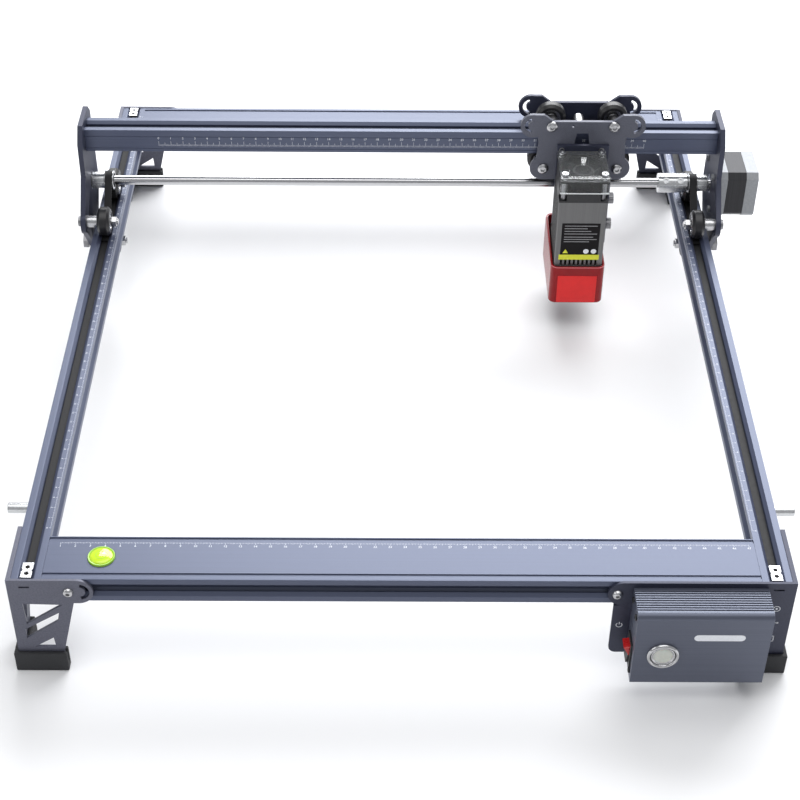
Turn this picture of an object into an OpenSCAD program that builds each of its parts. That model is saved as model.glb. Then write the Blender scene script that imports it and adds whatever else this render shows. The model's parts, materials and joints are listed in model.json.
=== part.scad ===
// Desktop laser cutter: an open aluminium frame on four rubber feet, a gantry that rolls along the
// two side rails, a carriage that rolls along the gantry's beam, and a laser head that slides up
// and down on the carriage. Millimetres, +X to the right, +Y to the back, +Z up. Inside the modules
// X = 0 is the middle of the frame, Y = 0 the front face of the front beam, Z = 0 the table.

/* [Frame] */
// Width over the outer faces of the two side rails
frame_w = 512; // [472:10:612]
// Length of the side rails, front to back
frame_l = 604; // [564:10:704]
// Clear height under the rails
rail_z = 64; // [62:1:66]
// Depth of the front and rear beams, front to back
beam_d = 40; // [40:1:46]

/* [Gantry] */
// Where the gantry's beam stands along the frame, measured to the middle of the beam
gantry_y = 444.5; // [200:0.5:520]
// Height of the middle of the beam above the table
beam_z = 151.7; // [150:0.1:156]
// Height of the synchronising shaft above the table
shaft_z = 107.4; // [106:0.1:108]
// Diameter of the synchronising shaft
shaft_d = 8; // [6:0.5:8]

/* [Wheels] */
// Diameter of the grooved wheels over the tip of the tread
wheel_d = 24.4; // [23.8:0.1:24.4]
// Width of the grooved wheels
wheel_w = 10; // [9:0.5:10]

/* [Carriage] */
// Where the carriage stands along the beam, measured from the middle of the frame
carriage_x = 147.8; // [-160:0.1:160]

/* [Laser head] */
// Width and depth of the heat sink and fan
head_w = 40; // [40:0.5:40.5]
// Height of the red hood's lower edge above the table
hood_z = 28; // [24:1:32]

/* [Control box] */
// Width of the box
box_w = 88.5; // [84:0.5:92]
// Depth of the box
box_d = 26; // [26:1:34]

/* [Hidden] */
$fn = 48;

// Anodised finishes and other colours
anodised = [0.42, 0.45, 0.6];
slate = [0.25, 0.27, 0.36];
blackened = [0.1, 0.1, 0.11];
steel = [0.8, 0.8, 0.82];
gunmetal = [0.3, 0.31, 0.32];

// Slotted profile
profile = 20;
mouth = 5.4;        // half width of a slot at the surface
throat = 3.1;       // half width of the slot between its lips
lip_t = 3;          // thickness of the lips
chamber = 5;        // half width of the slot behind the lips
chamber_d = 4.2;    // depth to which the chamber keeps its full width
slot_d = 6.1;       // depth of the slot
core_r = 2.1;       // hole along the middle of the profile

rail_x = frame_w / 2 - profile / 2;
rail_mid_z = rail_z + profile / 2;
rail_top = rail_z + profile;
rail_in = frame_w / 2 - profile;
rail_out = frame_w / 2;

// Brackets and feet
sheet = 2;                          // thickness of a bracket's front or rear panel
side_sheet = 3;                     // thickness of its outer flange
leg_out = rail_out + side_sheet;
bracket_top = rail_top + 0.5;
foot_h = 17;
leg_end = 6;                        // how high a leg ends above the table, inside its foot
lobe_r = 10.5;
left_lobe_x = 213;
right_lobe_x = 146;
bolt_r = 1.95;
bolt_hole_r = 2.2;
flange_bolt_y = [18, 34];
pin_y = 78;
rear_pin_y = frame_l - 6;
foot_proud = 3;                     // how far a rubber foot stands out beyond its leg
pin_out = rail_out + 16;

// Belts
belt_w = 5.8;
belt_t = 1.3;
strand_z = 5.9;     // depth of a strand's lower face below the surface of its profile

// Wheels
wheel_r = wheel_d / 2;
tip_half = 2.9;                         // half width of the tread at its tip
wheel_gap = 9.85;                       // from a wheel's axis to the face that it rolls on
shoulder_r = wheel_r - (wheel_w / 2 - tip_half);
axle_r = 2.5;
wheel_bore_r = 2.55;
upper_wheel_z = rail_top + wheel_gap;
lower_wheel_z = rail_z - wheel_gap;
front_wheel_y = gantry_y - 42.5;
rear_wheel_y = gantry_y + 17.5;
bottom_wheel_y = gantry_y - 12.5;
wheel_spots = [[front_wheel_y, upper_wheel_z], [rear_wheel_y, upper_wheel_z],
    [bottom_wheel_y, lower_wheel_z]];

// Gantry
plate_in = rail_out + 4.5;              // inner face of a gantry plate
plate_t = 4;
plate_out = plate_in + plate_t;
beam_half = profile / 2;
motor_w = 42.3;
motor_bevel = 4.5;
motor_cap = 6.5;                        // length of the motor's front cap
motor_end = 10;                          // length of its rear cap
motor_l = 32;
motor_out = plate_out + 0.5 + motor_l;
motor_shaft_r = 2.5;
motor_joint_x = rail_in - 7;            // where the two shafts meet inside the coupler
pulley_r = 6.1;
flange_r = 8;
pulley_l = 7.8;
pulley_belt_r = pulley_r + 0.3 + belt_t / 2;
wheel_belt_r = wheel_r + 0.3 + belt_t / 2;
bearing_r = 8;
coupler_r = 8.2;

// Carriage
c_plate_t = 3;
c_front = gantry_y - profile / 2 - 4;   // rear face of the front plate
c_rear = gantry_y + profile / 2 + 4;    // front face of the rear plate
c_front_face = c_front - c_plate_t;
top_wheel_z = beam_z + beam_half + wheel_gap;
low_wheel_z = beam_z - beam_half - wheel_gap;
top_wheel_dx = 25.4;
low_wheel_dx = 30.5;
x_pulley_z = low_wheel_z - 10.4;
x_motor_l = 24;
hole_pitch = 15.5;                      // half the bolt spacing of a motor's face
stud_dx = -2.5;                         // a short stud behind the front plate
stud_z = 168;

// Laser head
head_y = c_front_face - 23;             // middle of the fan, front to back
half = head_w / 2;
sink_z = 64;
sink_top = 126;
sink_front = head_y - half;
sink_back = head_y + half + 0.2;
fan_top = 146;
cover_t = 1.8;
cover_top = 150;
screw_pitch = 16;
bracket_gap = 0.3;
bracket_back_t = 2.5;
thumb_y = head_y + 1.5;
thumb_z = [117, 92];
thumb_r = 2;
lift = 10;                              // how far the head slides each way
hood_w = head_w + 5.2;
hood_front = sink_front - 3.5;
hood_back = head_y + 53;
hood_t = 2;
hood_r = 6;
hood_front_h = 36;
hood_back_h = 40;

// Control box
box_x = 152;
box_z = 17.2;
box_top = 80.5;
box_wall = 2;
box_right = box_x + box_w;
box_front = -sheet - box_d;
button_x = box_x + 19.5;
button_z = 44;
button_r = 8.2;
bezel_r = 11;
bezel_proud = 2.5;
rocker_y = box_front + 12;
rocker_z = 36.5;
rocker_tilt = 9;
board_y = -7.6;
port_z = [60.7, 47.2, 31.4];

// The part's own origin is under the middle of its box
mid_x = (motor_out - pin_out) / 2;
mid_y = (frame_l + sheet + foot_proud + box_front - bezel_proud) / 2;

module place() translate([-mid_x, -mid_y, 0]) children();

// Shapes drawn in the Y-Z plane and drawn out along X, from x0 to x1
module along_x(x0, x1) translate([x0, 0, 0]) rotate([90, 0, 90]) linear_extrude(x1 - x0) children();

// Shapes drawn in the X-Z plane and drawn out along Y, from y0 to y1
module along_y(y0, y1) translate([0, y1, 0]) rotate([90, 0, 0]) linear_extrude(y1 - y0) children();

module rod_x(r, x0, x1, y, z) translate([x0, y, z]) rotate([0, 90, 0]) cylinder(h = x1 - x0, r = r);

module rod_y(r, y0, y1, x, z) translate([x, y1, z]) rotate([90, 0, 0]) cylinder(h = y1 - y0, r = r);

// A block given by two opposite corners
module block(low, high) translate(low) cube(high - low);

module both_sides() for (side = [0, 1]) mirror([side, 0, 0]) children();

// One slot, opening towards +Y at y = 0
module slot_2d() polygon([
    [-mouth - 0.1, 0.1], [-throat, throat - mouth], [-throat, -lip_t], [-chamber, -lip_t],
    [-chamber, -chamber_d], [-2.9, -slot_d], [2.9, -slot_d], [chamber, -chamber_d],
    [chamber, -lip_t], [throat, -lip_t], [throat, throat - mouth], [mouth + 0.1, 0.1]
]);

// A square profile with slots on the faces at the given angles, 0 being the top
module profile_2d(angles) difference() {
    square(profile, center = true);
    for (a = angles) rotate(a) translate([0, profile / 2]) slot_2d();
    circle(r = core_r);
}

// ---- Frame ----

module side_rail(side) color(anodised)
    along_y(0, frame_l) translate([side * rail_x, rail_mid_z]) profile_2d([0, 90, 180, 270]);

// A cross beam drawn in Y-Z with its front face at y = 0
module beam_2d() difference() {
    square([beam_d, profile]);
    translate([0, profile / 2]) rotate(90) slot_2d();
    translate([beam_d, profile / 2]) rotate(-90) slot_2d();
    for (y = [profile / 2, beam_d - profile / 2]) {
        translate([y, 0]) rotate(180) slot_2d();
        translate([y, profile / 2 + 1]) circle(r = core_r);
    }
    for (y = [4.5, beam_d - 2.5]) translate([y - 1.5, profile - 0.8]) square([3, 1]);
}

level_x = -199;
level_y = 20.6;
level_r = 9.1;

module front_beam() color(anodised) difference() {
    along_x(-rail_in, rail_in) translate([0, rail_z]) beam_2d();
    translate([level_x, level_y, rail_top - 1.5]) cylinder(h = 3, r = level_r + 0.1);
}

module rear_beam() color(anodised) along_x(-rail_in, rail_in)
    translate([frame_l, rail_z]) mirror([1, 0]) beam_2d();

// Cut-outs of a leg, leaving slanted bars, in X-Z with X counted from the leg's outer face
module leg_windows() {
    polygon([[8.4, 62.6], [34.7, 61.8], [9.1, 43.3]]);
    polygon([[7.3, 38], [7.3, 29.5], [30.1, 46.4], [31.6, 54]]);
    polygon([[12, 21], [25.3, 30], [26, 21]]);
}

// A thin arc-shaped slot around a bolt, open on one side
module arc_slot(r0, r1, from, to) difference() {
    circle(r = r1);
    circle(r = r0);
    reach = 2 * r1;
    polygon([[0, 0], [reach * cos(to), reach * sin(to)], [-reach, reach], [-reach, -reach],
        [reach * cos(from), reach * sin(from)]]);
}

// Panel of a narrow corner bracket, X counted inwards from the leg's outer face
module narrow_panel_2d() {
    lobe_at = leg_out - left_lobe_x;
    difference() {
        union() {
            polygon([[0, leg_end], [30, leg_end], [31.3, foot_h], [42.6, 63.5],
                [lobe_at, 63.5], [lobe_at, bracket_top], [0, bracket_top]]);
            translate([lobe_at, rail_mid_z]) circle(r = lobe_r);
        }
        leg_windows();
        translate([8, 77.6]) square([7, 1.4]);
        translate([lobe_at - 6, rail_mid_z]) circle(r = bolt_hole_r);
        translate([lobe_at + 1, rail_mid_z]) arc_slot(4.3, 7, -80, 80);
    }
}

// Outer flange of a bracket, drawn in Y-Z with the panel's outer face at y = -sheet
module flange_2d() difference() {
    polygon([[-sheet, leg_end], [26, leg_end], [28, foot_h], [49, 60], [49, bracket_top],
        [-sheet, bracket_top]]);
    for (y = flange_bolt_y) translate([y, rail_mid_z]) circle(r = bolt_hole_r);
    polygon([[6, 26], [22, 26], [34, 52], [6, 52]]);
}

// A corner bracket at the front left; the others are mirrored from it
module corner_bracket() translate([-leg_out, 0, 0]) {
    along_y(-sheet, 0) narrow_panel_2d();
    difference() {
        along_x(0, side_sheet) flange_2d();
        block([-1, -sheet - 1, 0], [side_sheet + 1, 0, 100]);
    }
}

module front_left_bracket() color(slate) corner_bracket();

module to_rear() translate([0, frame_l, 0]) mirror([0, 1, 0]) children();

// A rear bracket also lets the rear stop pin through its flange
module rear_bracket() difference() {
    to_rear() corner_bracket();
    rod_x(2.7, -leg_out - 1, -rail_out, rear_pin_y, rail_mid_z);
}

module rear_left_bracket() color(slate) rear_bracket();

module rear_right_bracket() color(slate) mirror([1, 0, 0]) rear_bracket();

// The wide front right bracket also carries the control box
module wide_panel_2d() {
    left = right_lobe_x - 6;
    low = 18;
    difference() {
        union() {
            polygon([[left + 5, low], [leg_out - 32, low], [leg_out - 30, leg_end],
                [leg_out, leg_end], [leg_out, bracket_top], [right_lobe_x, bracket_top],
                [right_lobe_x, 63.5], [left, 63.5], [left, low + 5]]);
            translate([left + 5, low + 5]) circle(r = 5);
            translate([right_lobe_x, rail_mid_z]) circle(r = lobe_r);
        }
        translate([leg_out - 15, 77.6]) square([7, 1.4]);
        translate([right_lobe_x - 4.3, rail_mid_z]) circle(r = bolt_hole_r);
    }
}

module front_right_bracket() color(slate) {
    along_y(-sheet, 0) wide_panel_2d();
    difference() {
        along_x(rail_out, leg_out) flange_2d();
        block([rail_out - 1, -sheet - 1, 0], [leg_out + 1, 0, 100]);
    }
}

// A rubber shoe that folds round the leg's two edges, with a pocket for each
module foot() difference() {
    union() {
        block([-leg_out - foot_proud, -sheet - foot_proud, 0], [-leg_out + 33, foot_proud, foot_h]);
        block([-leg_out - foot_proud, -sheet - foot_proud, 0],
            [-leg_out + side_sheet + foot_proud, 30, foot_h]);
    }
    block([-leg_out, -sheet, leg_end], [-leg_out + 33.5, 0, foot_h + 1]);
    block([-leg_out, -sheet, leg_end], [-leg_out + side_sheet, 28, foot_h + 1]);
}

module feet() color(blackened) both_sides() {
    foot();
    to_rear() foot();
}

// A button-head bolt with its slot nut; the head is towards -Z, the panel's face at z = 0
module frame_bolt(grip) difference() {
    union() {
        translate([0, 0, -2.6]) rotate_extrude()
            polygon([[0, 0], [1.8, 0.1], [3, 0.8], [3.8, 2.6], [0, 2.6]]);
        cylinder(h = grip + 5.9, r = bolt_r);
        translate([-4.5, -4.5, grip + 3.1]) cube([9, 9, 1]);
        translate([-2.7, -4.5, grip + 4]) cube([5.4, 9, 1.9]);
    }
    translate([0, 0, -3]) cylinder(h = 1.8, r = 1.4, $fn = 6);
}

module lobe_bolt(x) translate([x, -sheet, rail_mid_z]) rotate([-90, 0, 0]) rotate(90) frame_bolt(sheet);

module flange_bolts() for (y = flange_bolt_y)
    translate([-leg_out, y, rail_mid_z]) rotate([0, 90, 0]) frame_bolt(side_sheet);

module frame_bolts() color(steel) {
    lobe_bolt(-left_lobe_x - 6);
    lobe_bolt(right_lobe_x - 4.3);
    both_sides() {
        to_rear() lobe_bolt(-left_lobe_x - 6);
        flange_bolts();
        to_rear() flange_bolts();
    }
}

module bubble_level() color([0.72, 0.9, 0.25]) translate([level_x, level_y, rail_top - 1.5])
    rotate_extrude() polygon([[0, 0], [level_r, 0], [level_r, 2.6], [level_r - 0.8, 3.3], [0, 4]]);

module y_belts() color(blackened) both_sides()
    translate([-rail_x - belt_w / 2, 3, rail_top - strand_z]) cube([belt_w, frame_l - 6, belt_t]);

// A two-hole clamp that presses the belt's end into the slot
module belt_clamp() {
    difference() {
        block([-3.6, 1, -0.8], [3.6, 14.6, 0.6]);
        for (y = [4.8, 10.6]) translate([0, y, -1]) cylinder(h = 2, r = 1.6);
        for (x = [-4.2, 4.2]) translate([x, 7.7, -1]) cylinder(h = 2, r = 1.3);
    }
    for (y = [4.8, 10.6]) translate([0, y, 0]) difference() {
        translate([0, 0, belt_t - strand_z]) cylinder(h = strand_z - belt_t + 0.3, r = 1.6);
        translate([0, 0, -1]) cylinder(h = 2, r = 0.8, $fn = 6);
    }
}

module belt_clamps() color(steel) both_sides() translate([-rail_x, 0, rail_top]) {
    belt_clamp();
    translate([0, frame_l, 0]) mirror([0, 1, 0]) belt_clamp();
}

// A stop pin screwed into the rail's outer slot, with its head standing on the face at x = seat
module stop_pin(y, seat) {
    rod_x(3.7, seat, pin_out, y, rail_mid_z);
    rod_x(2.6, rail_out - lip_t - 2, seat, y, rail_mid_z);
}

module stop_pins() color(steel) both_sides() {
    stop_pin(pin_y, rail_out);
    stop_pin(rear_pin_y, leg_out);
}

// ---- Control box ----

// Outline of the extruded shell in Y-Z, rounded at its front upper edge
module shell_outline(inset) {
    low = box_z + inset;
    top = box_top - inset;
    front = box_front + inset;
    back = -sheet - inset;
    r = 4 - inset;
    translate([front, low]) square([back - front, top - r - low]);
    translate([front + r, low]) square([back - front - r, top - low]);
    translate([front + r, top - r]) circle(r = r);
}

module box_shell() color(slate) difference() {
    along_x(box_x, box_right) difference() {
        shell_outline(0);
        shell_outline(box_wall);
        for (i = [0:8]) translate([box_front + 5.6 + i * 2.1, box_top - 0.9]) square([0.9, 2]);
    }
    rod_y(9.1, box_front - 1, box_front + box_wall + 1, button_x, button_z);
}

module box_end(x0) along_x(x0, x0 + box_wall) shell_outline(box_wall);

// A block as deep as a port, through the right-hand end plate
module port_block(x0, x1, y0, y1, z, h)
    block([box_right + x0, board_y - y0, z - h], [box_right + x1, board_y - y1, z + h]);

module box_ends() color(slate) {
    difference() {
        box_end(box_x);
        translate([box_x - 1, rocker_y - 5.6, rocker_z - 9.6]) cube([4, 11.2, 19.2]);
    }
    difference() {
        box_end(box_right - box_wall);
        rod_x(4.6, box_right - 3, box_right + 1, board_y - 7, port_z[0]);
        port_block(-3, 1, 5.2, 1.8, port_z[1], 4.6);
        port_block(-3, 1, 4.2, 1.6, port_z[2], 6.1);
    }
}

module control_board() color([0.1, 0.35, 0.2]) {
    block([box_x + 22, board_y - 1.6, box_z + 6], [box_right - 5, board_y, box_top - 8]);
    for (x = [box_x + 27, box_right - 10], z = [box_z + 11, box_top - 13])
        rod_y(2.5, board_y, -sheet - box_wall, x, z);
    block([box_x + 34, board_y - 4, 30], [box_x + 48, board_y - 1.6, 44]);
}

module button_bezel() color(steel) difference() {
    union() {
        translate([button_x, box_front, button_z]) rotate([90, 0, 0]) rotate_extrude() polygon([
            [0, 0], [bezel_r, 0], [bezel_r, 0.8], [bezel_r - 1.4, bezel_proud], [0, bezel_proud]]);
        rod_y(9, box_front, box_front + 13, button_x, button_z);
    }
    rod_y(button_r + 0.1, box_front - 5, box_front + 11, button_x, button_z);
}

module start_button() color([0.85, 0.86, 0.82]) {
    rod_y(button_r, box_front - 1.6, box_front + 8, button_x, button_z);
}

// Rocker switch: a tray in the left end plate, open to the left
module switch_housing() color(blackened) difference() {
    union() {
        block([box_x - 1.2, rocker_y - 7, rocker_z - 11], [box_x, rocker_y + 7, rocker_z + 11]);
        block([box_x, rocker_y - 5.6, rocker_z - 9.6], [box_x + 10, rocker_y + 5.6, rocker_z + 9.6]);
    }
    block([box_x - 2, rocker_y - 4.4, rocker_z - 8.4], [box_x + 8, rocker_y + 4.4, rocker_z + 8.4]);
    rod_y(1.25, rocker_y - 5, rocker_y + 5, box_x + 3, rocker_z);
}

// The rocker is drawn level on its pivot pin and stands tilted by half its throw, upper half out
module power_rocker() color([0.8, 0.1, 0.1]) translate([box_x + 3, rocker_y, rocker_z])
    rotate([0, -rocker_tilt, 0]) {
        along_y(-4.2, 4.2) polygon([
            [-7.4, 7.2], [-5.2, 0.6], [-5.2, -0.6], [-7.4, -7.2],
            [-1, -7.4], [2.5, -3], [2.5, 3], [-1, 7.4]
        ]);
        rod_y(1.2, -4.9, 4.9, 0, 0);
    }

module box_ports() color(blackened) {
    difference() {
        union() {
            port_block(-14, -2, 12, 1.6, port_z[0], 5);
            rod_x(4.5, box_right - 2, box_right, board_y - 7, port_z[0]);
        }
        rod_x(3, box_right - 10, box_right + 1, board_y - 7, port_z[0]);
    }
    rod_x(1, box_right - 10, box_right - 1, board_y - 7, port_z[0]);
    difference() {
        port_block(-9, 0, 5.1, 1.9, port_z[1], 4.5);
        port_block(-7, 1, 4.7, 2.3, port_z[1], 4.1);
    }
    difference() {
        port_block(-14, 0, 4.1, 1.7, port_z[2], 6);
        port_block(-12, 1, 3.6, 2.2, port_z[2], 5.5);
    }
}

// ---- Gantry ----

module x_beam() color(anodised)
    along_x(-plate_in, plate_in) translate([gantry_y, beam_z]) difference() {
    profile_2d([0, 180, -90]);
    // Shallow steps at the edges of the front face frame its flat ruler band
    translate([-beam_half - 0.1, beam_half - 6.3]) square([0.5, 0.8]);
    translate([-beam_half - 0.1, -beam_half + 2.6]) square([0.5, 0.8]);
}

// Outline of a gantry plate in Y-Z: a nose round the beam and a lobe round each wheel
module gantry_plate_2d() difference() {
    union() {
        polygon([
            [gantry_y - 14.5, beam_z + 16.3], [gantry_y + 17.5, beam_z + 16.3],
            [gantry_y + 25.5, beam_z + 8], [gantry_y + 27.5, upper_wheel_z],
            [gantry_y + 22, rail_top + 1], [bottom_wheel_y + 10, lower_wheel_z],
            [bottom_wheel_y - 10, lower_wheel_z], [front_wheel_y - 4, rail_top + 0.7],
            [front_wheel_y - 9, upper_wheel_z + 4], [gantry_y - 26.5, beam_z - 23.7],
            [gantry_y - 24.5, beam_z + 4.3]
        ]);
        for (spot = wheel_spots) translate(spot) circle(r = 10);
    }
    for (spot = wheel_spots) translate(spot) circle(r = axle_r + 0.1);
    translate([gantry_y, shaft_z]) circle(r = bearing_r);
    for (dy = [-7.5, 7.5]) translate([gantry_y + dy, beam_z]) circle(r = 1.1);
}

// The rear wheel's bolt takes the place of the motor's fourth screw
motor_holes = [
    [gantry_y - hole_pitch, shaft_z - hole_pitch], [gantry_y - hole_pitch, shaft_z + hole_pitch],
    [gantry_y + hole_pitch, shaft_z + hole_pitch]
];

module left_gantry_plate() color(slate) along_x(-plate_out, -plate_in) gantry_plate_2d();

module right_gantry_plate() color(slate) along_x(plate_in, plate_out) difference() {
    gantry_plate_2d();
    for (hole = motor_holes) translate(hole) circle(r = 1.7);
}

// One wheel's bolt with its outer head, spacer and inner nut, on the right-hand side. The rear
// bolt's head is sunk, because the motor's face is over it.
module wheel_axle(y, z, head_h) {
    wheel_face = rail_x + wheel_w / 2 + 0.3;
    nut_face = rail_x - wheel_w / 2 - 0.3;
    rod_x(axle_r, nut_face - 6, plate_out, y, z);
    rod_x(4.2, plate_out - 0.01, plate_out + head_h, y, z);
    rod_x(5, wheel_face + 1, plate_in, y, z);
    rod_x(3.6, wheel_face, wheel_face + 1, y, z);
    translate([nut_face - 4.5, y, z]) rotate([0, 90, 0]) cylinder(h = 3.5, r = 4.6, $fn = 6);
    rod_x(3.6, nut_face - 1, nut_face, y, z);
}

// The lower wheel's eccentric hexagon, outside its plate
module eccentric(y, z) translate([plate_out + 3, y, z]) rotate([0, 90, 0]) cylinder(h = 4, r = 6.5, $fn = 6);

module gantry_axles() color(steel) both_sides() {
    for (spot = wheel_spots) wheel_axle(spot[0], spot[1], spot[0] == rear_wheel_y ? 0.2 : 3);
    eccentric(bottom_wheel_y, lower_wheel_z);
}

// A square motor face with bevelled corners, in Y-Z around its own axis
module motor_face_2d(w) {
    h = w / 2;
    b = motor_bevel;
    polygon([[-h + b, -h], [h - b, -h], [h, -h + b], [h, h - b], [h - b, h], [-h + b, h],
        [-h, h - b], [-h, -h + b]]);
}

module y_motor() color(blackened) {
    front = plate_out + 0.5;
    difference() {
        union() {
            along_x(front, front + motor_cap) translate([gantry_y, shaft_z]) motor_face_2d(motor_w);
            along_x(front + motor_cap, motor_out - motor_end) translate([gantry_y, shaft_z])
                motor_face_2d(motor_w - 0.6);
            along_x(motor_out - motor_end, motor_out) translate([gantry_y, shaft_z]) motor_face_2d(motor_w);
            rod_x(10.9, plate_out, front, gantry_y, shaft_z);
            for (hole = motor_holes) rod_x(1.6, plate_in, front, hole[0], hole[1]);
            for (hole = motor_holes) rod_x(2.8, plate_in - 1.8, plate_in, hole[0], hole[1]);
        }
        rod_x(motor_shaft_r + 0.05, plate_out - 1, motor_out - 6, gantry_y, shaft_z);
    }
}

// Ball bearings pressed into the plates: around the long shaft on the left, the motor's on the right
module bearing(x0, bore_r) difference() {
    rod_x(bearing_r, x0, x0 + plate_t, gantry_y, shaft_z);
    rod_x(bore_r, x0 - 1, x0 + plate_t + 1, gantry_y, shaft_z);
}

module shaft_bearings() color(steel) {
    bearing(-plate_out, shaft_d / 2 + 0.05);
    bearing(plate_in, motor_shaft_r + 0.05);
}

// Points of an arc around c, from one angle to another
function arc(c, r, from, to) =
    [for (i = [0:12]) let (a = from + (to - from) * i / 12) c + r * [cos(a), sin(a)]];

// Points at a distance from the middle line of a belt that runs under a wheel at front, over a
// pulley at the top, and under a wheel at back; shift is positive on the wheels' side
function loop_side(front, top, back, shift) =
    let (
        up = top - front,
        down = back - top,
        reach = wheel_belt_r + pulley_belt_r,
        climb = atan2(up[1], up[0]) + asin(reach / norm(up)),
        fall = atan2(down[1], down[0]) - asin(reach / norm(down)),
        r_wheel = wheel_belt_r - shift,
        r_pulley = pulley_belt_r + shift
    ) concat(
        [front + [-10, -r_wheel]],
        arc(front, r_wheel, -90, climb - 90),
        arc(top, r_pulley, climb + 90, fall + 90),
        arc(back, r_wheel, fall - 90, -90),
        [back + [10, -r_wheel]]
    );

function reversed(list) = [for (i = [len(list) - 1:-1:0]) list[i]];

module belt_loop_2d(front, top, back) {
    upper = loop_side(front, top, back, belt_t / 2);
    lower = loop_side(front, top, back, -belt_t / 2);
    polygon(concat(upper, reversed(lower)));
}

module gantry_belts() color(blackened) {
    both_sides() along_x(rail_x - belt_w / 2, rail_x + belt_w / 2)
        belt_loop_2d(wheel_spots[0], [gantry_y, shaft_z], wheel_spots[1]);
    translate([-plate_in + 3, gantry_y - belt_w / 2, beam_z - beam_half + strand_z - belt_t])
        cube([2 * plate_in - 6, belt_w, belt_t]);
}

// ---- Synchronising shaft ----

module sync_shaft() color(steel)
    rod_x(shaft_d / 2, -plate_out, motor_joint_x - 0.5, gantry_y, shaft_z);

module motor_shaft() color(steel)
    rod_x(motor_shaft_r, motor_joint_x + 0.5, motor_out - 8, gantry_y, shaft_z);

// A split sleeve that joins the two shafts, with two clamping screws
module shaft_coupler() color(steel) {
    x0 = motor_joint_x - 12;
    x1 = motor_joint_x + 12;
    difference() {
        union() {
            rod_x(coupler_r, x0, x1, gantry_y, shaft_z);
            for (x = [x0 + 6, x1 - 6]) coupler_screw(x) cylinder(h = coupler_r - 2.6, r = 2.6);
        }
        for (x = [x0 + 6, x1 - 6]) coupler_screw(x) translate([0, 0, 4.6]) cylinder(h = 3, r = 1.3, $fn = 6);
        rod_x(shaft_d / 2, x0 - 1, motor_joint_x, gantry_y, shaft_z);
        rod_x(motor_shaft_r, motor_joint_x - 1, x1 + 1, gantry_y, shaft_z);
        block([x0 - 1, gantry_y - 0.5, shaft_z - coupler_r - 1], [x1 + 1, gantry_y + 0.5, shaft_z - 3]);
    }
}

// A screw's place on the sleeve, 3.2 mm from its axis and facing up and to the front
module coupler_screw(x) translate([x, gantry_y, shaft_z]) rotate([45, 0, 0])
    translate([0, 0, 3.2]) children();

// A toothed pulley with two flanges, between x0 and x0 + pulley_l
module pulley(x0, bore_r) difference() {
    union() {
        rod_x(pulley_r, x0, x0 + pulley_l, gantry_y, shaft_z);
        rod_x(flange_r, x0, x0 + 0.9, gantry_y, shaft_z);
        rod_x(flange_r, x0 + pulley_l - 0.9, x0 + pulley_l, gantry_y, shaft_z);
    }
    rod_x(bore_r, x0 - 1, x0 + pulley_l + 1, gantry_y, shaft_z);
}

// The hub of a pulley, which holds its set screw
module pulley_hub(x0, x1, bore_r) difference() {
    rod_x(7, x0, x1, gantry_y, shaft_z);
    rod_x(bore_r, x0 - 1, x1 + 1, gantry_y, shaft_z);
}

module drive_pulleys() color(steel) {
    p = pulley_l / 2;
    pulley(-rail_x - p, shaft_d / 2);
    pulley_hub(-plate_in + 0.5, -rail_x - p, shaft_d / 2);
    pulley(rail_x - p, motor_shaft_r);
    pulley_hub(rail_x + p, plate_in - 2.3, motor_shaft_r);
}

// ---- Wheels ----

// A grooved wheel around the Z axis, its tread bevelled to run in a slot's mouth
module v_wheel() difference() {
    w = wheel_w / 2;
    rotate_extrude() polygon([[wheel_bore_r, -w], [shoulder_r, -w], [wheel_r, -tip_half],
        [wheel_r, tip_half], [shoulder_r, w], [wheel_bore_r, w]]);
    for (z = [-w - 1, w - 0.6]) translate([0, 0, z]) difference() {
        cylinder(h = 1.6, r = 8);
        translate([0, 0, -1]) cylinder(h = 4, r = 4);
    }
}

module y_wheel(side, spot) color(blackened)
    translate([side * rail_x, spot[0], spot[1]]) rotate([0, 90, 0]) v_wheel();

module x_wheel(dx, z) color(blackened)
    translate([carriage_x + dx, gantry_y, z]) rotate([90, 0, 0]) v_wheel();

// ---- Carriage ----

wheel_places = [
    [-top_wheel_dx, top_wheel_z], [top_wheel_dx, top_wheel_z],
    [-low_wheel_dx, low_wheel_z], [low_wheel_dx, low_wheel_z]
];

// Outline of a carriage plate in X-Z, X counted from its middle: a rounded lobe at each wheel
module carriage_plate_2d() {
    top = top_wheel_z + 10.3;
    bottom = low_wheel_z - 10.9;
    difference() {
        union() {
            for (side = [0, 1]) mirror([side, 0]) {
                polygon([[0, bottom], [low_wheel_dx, bottom], [low_wheel_dx + 6, low_wheel_z + 10],
                    [35.5, beam_z + 2.3], [top_wheel_dx + 11, top_wheel_z - 9.5],
                    [44, top], [32, top], [24, top - 6], [0, top - 6]]);
                translate([40.5, top_wheel_z]) circle(r = 10.5);
                translate([low_wheel_dx, low_wheel_z]) circle(r = 10.9);
            }
        }
        for (place = wheel_places) translate(place) circle(r = axle_r + 0.1);
        for (side = [0, 1]) mirror([side, 0])
            translate([40.5, top_wheel_z]) arc_slot(4.2, 7, -75, 75);
    }
}

module carriage_front_plate() color(slate) difference() {
    translate([carriage_x, 0, 0]) along_y(c_front_face, c_front) difference() {
        carriage_plate_2d();
        polygon([[-7, 149], [7, 149], [4.6, 165], [-4.6, 165]]);
        for (side = [-1, 1]) translate([side * 16.3, 152.6]) circle(r = 1.6);
        translate([-7.8, top_wheel_z]) circle(r = 1.3);
    }
    rod_y(1.6, c_front - 2, c_front + 1, carriage_x + stud_dx, stud_z);
}

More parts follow.
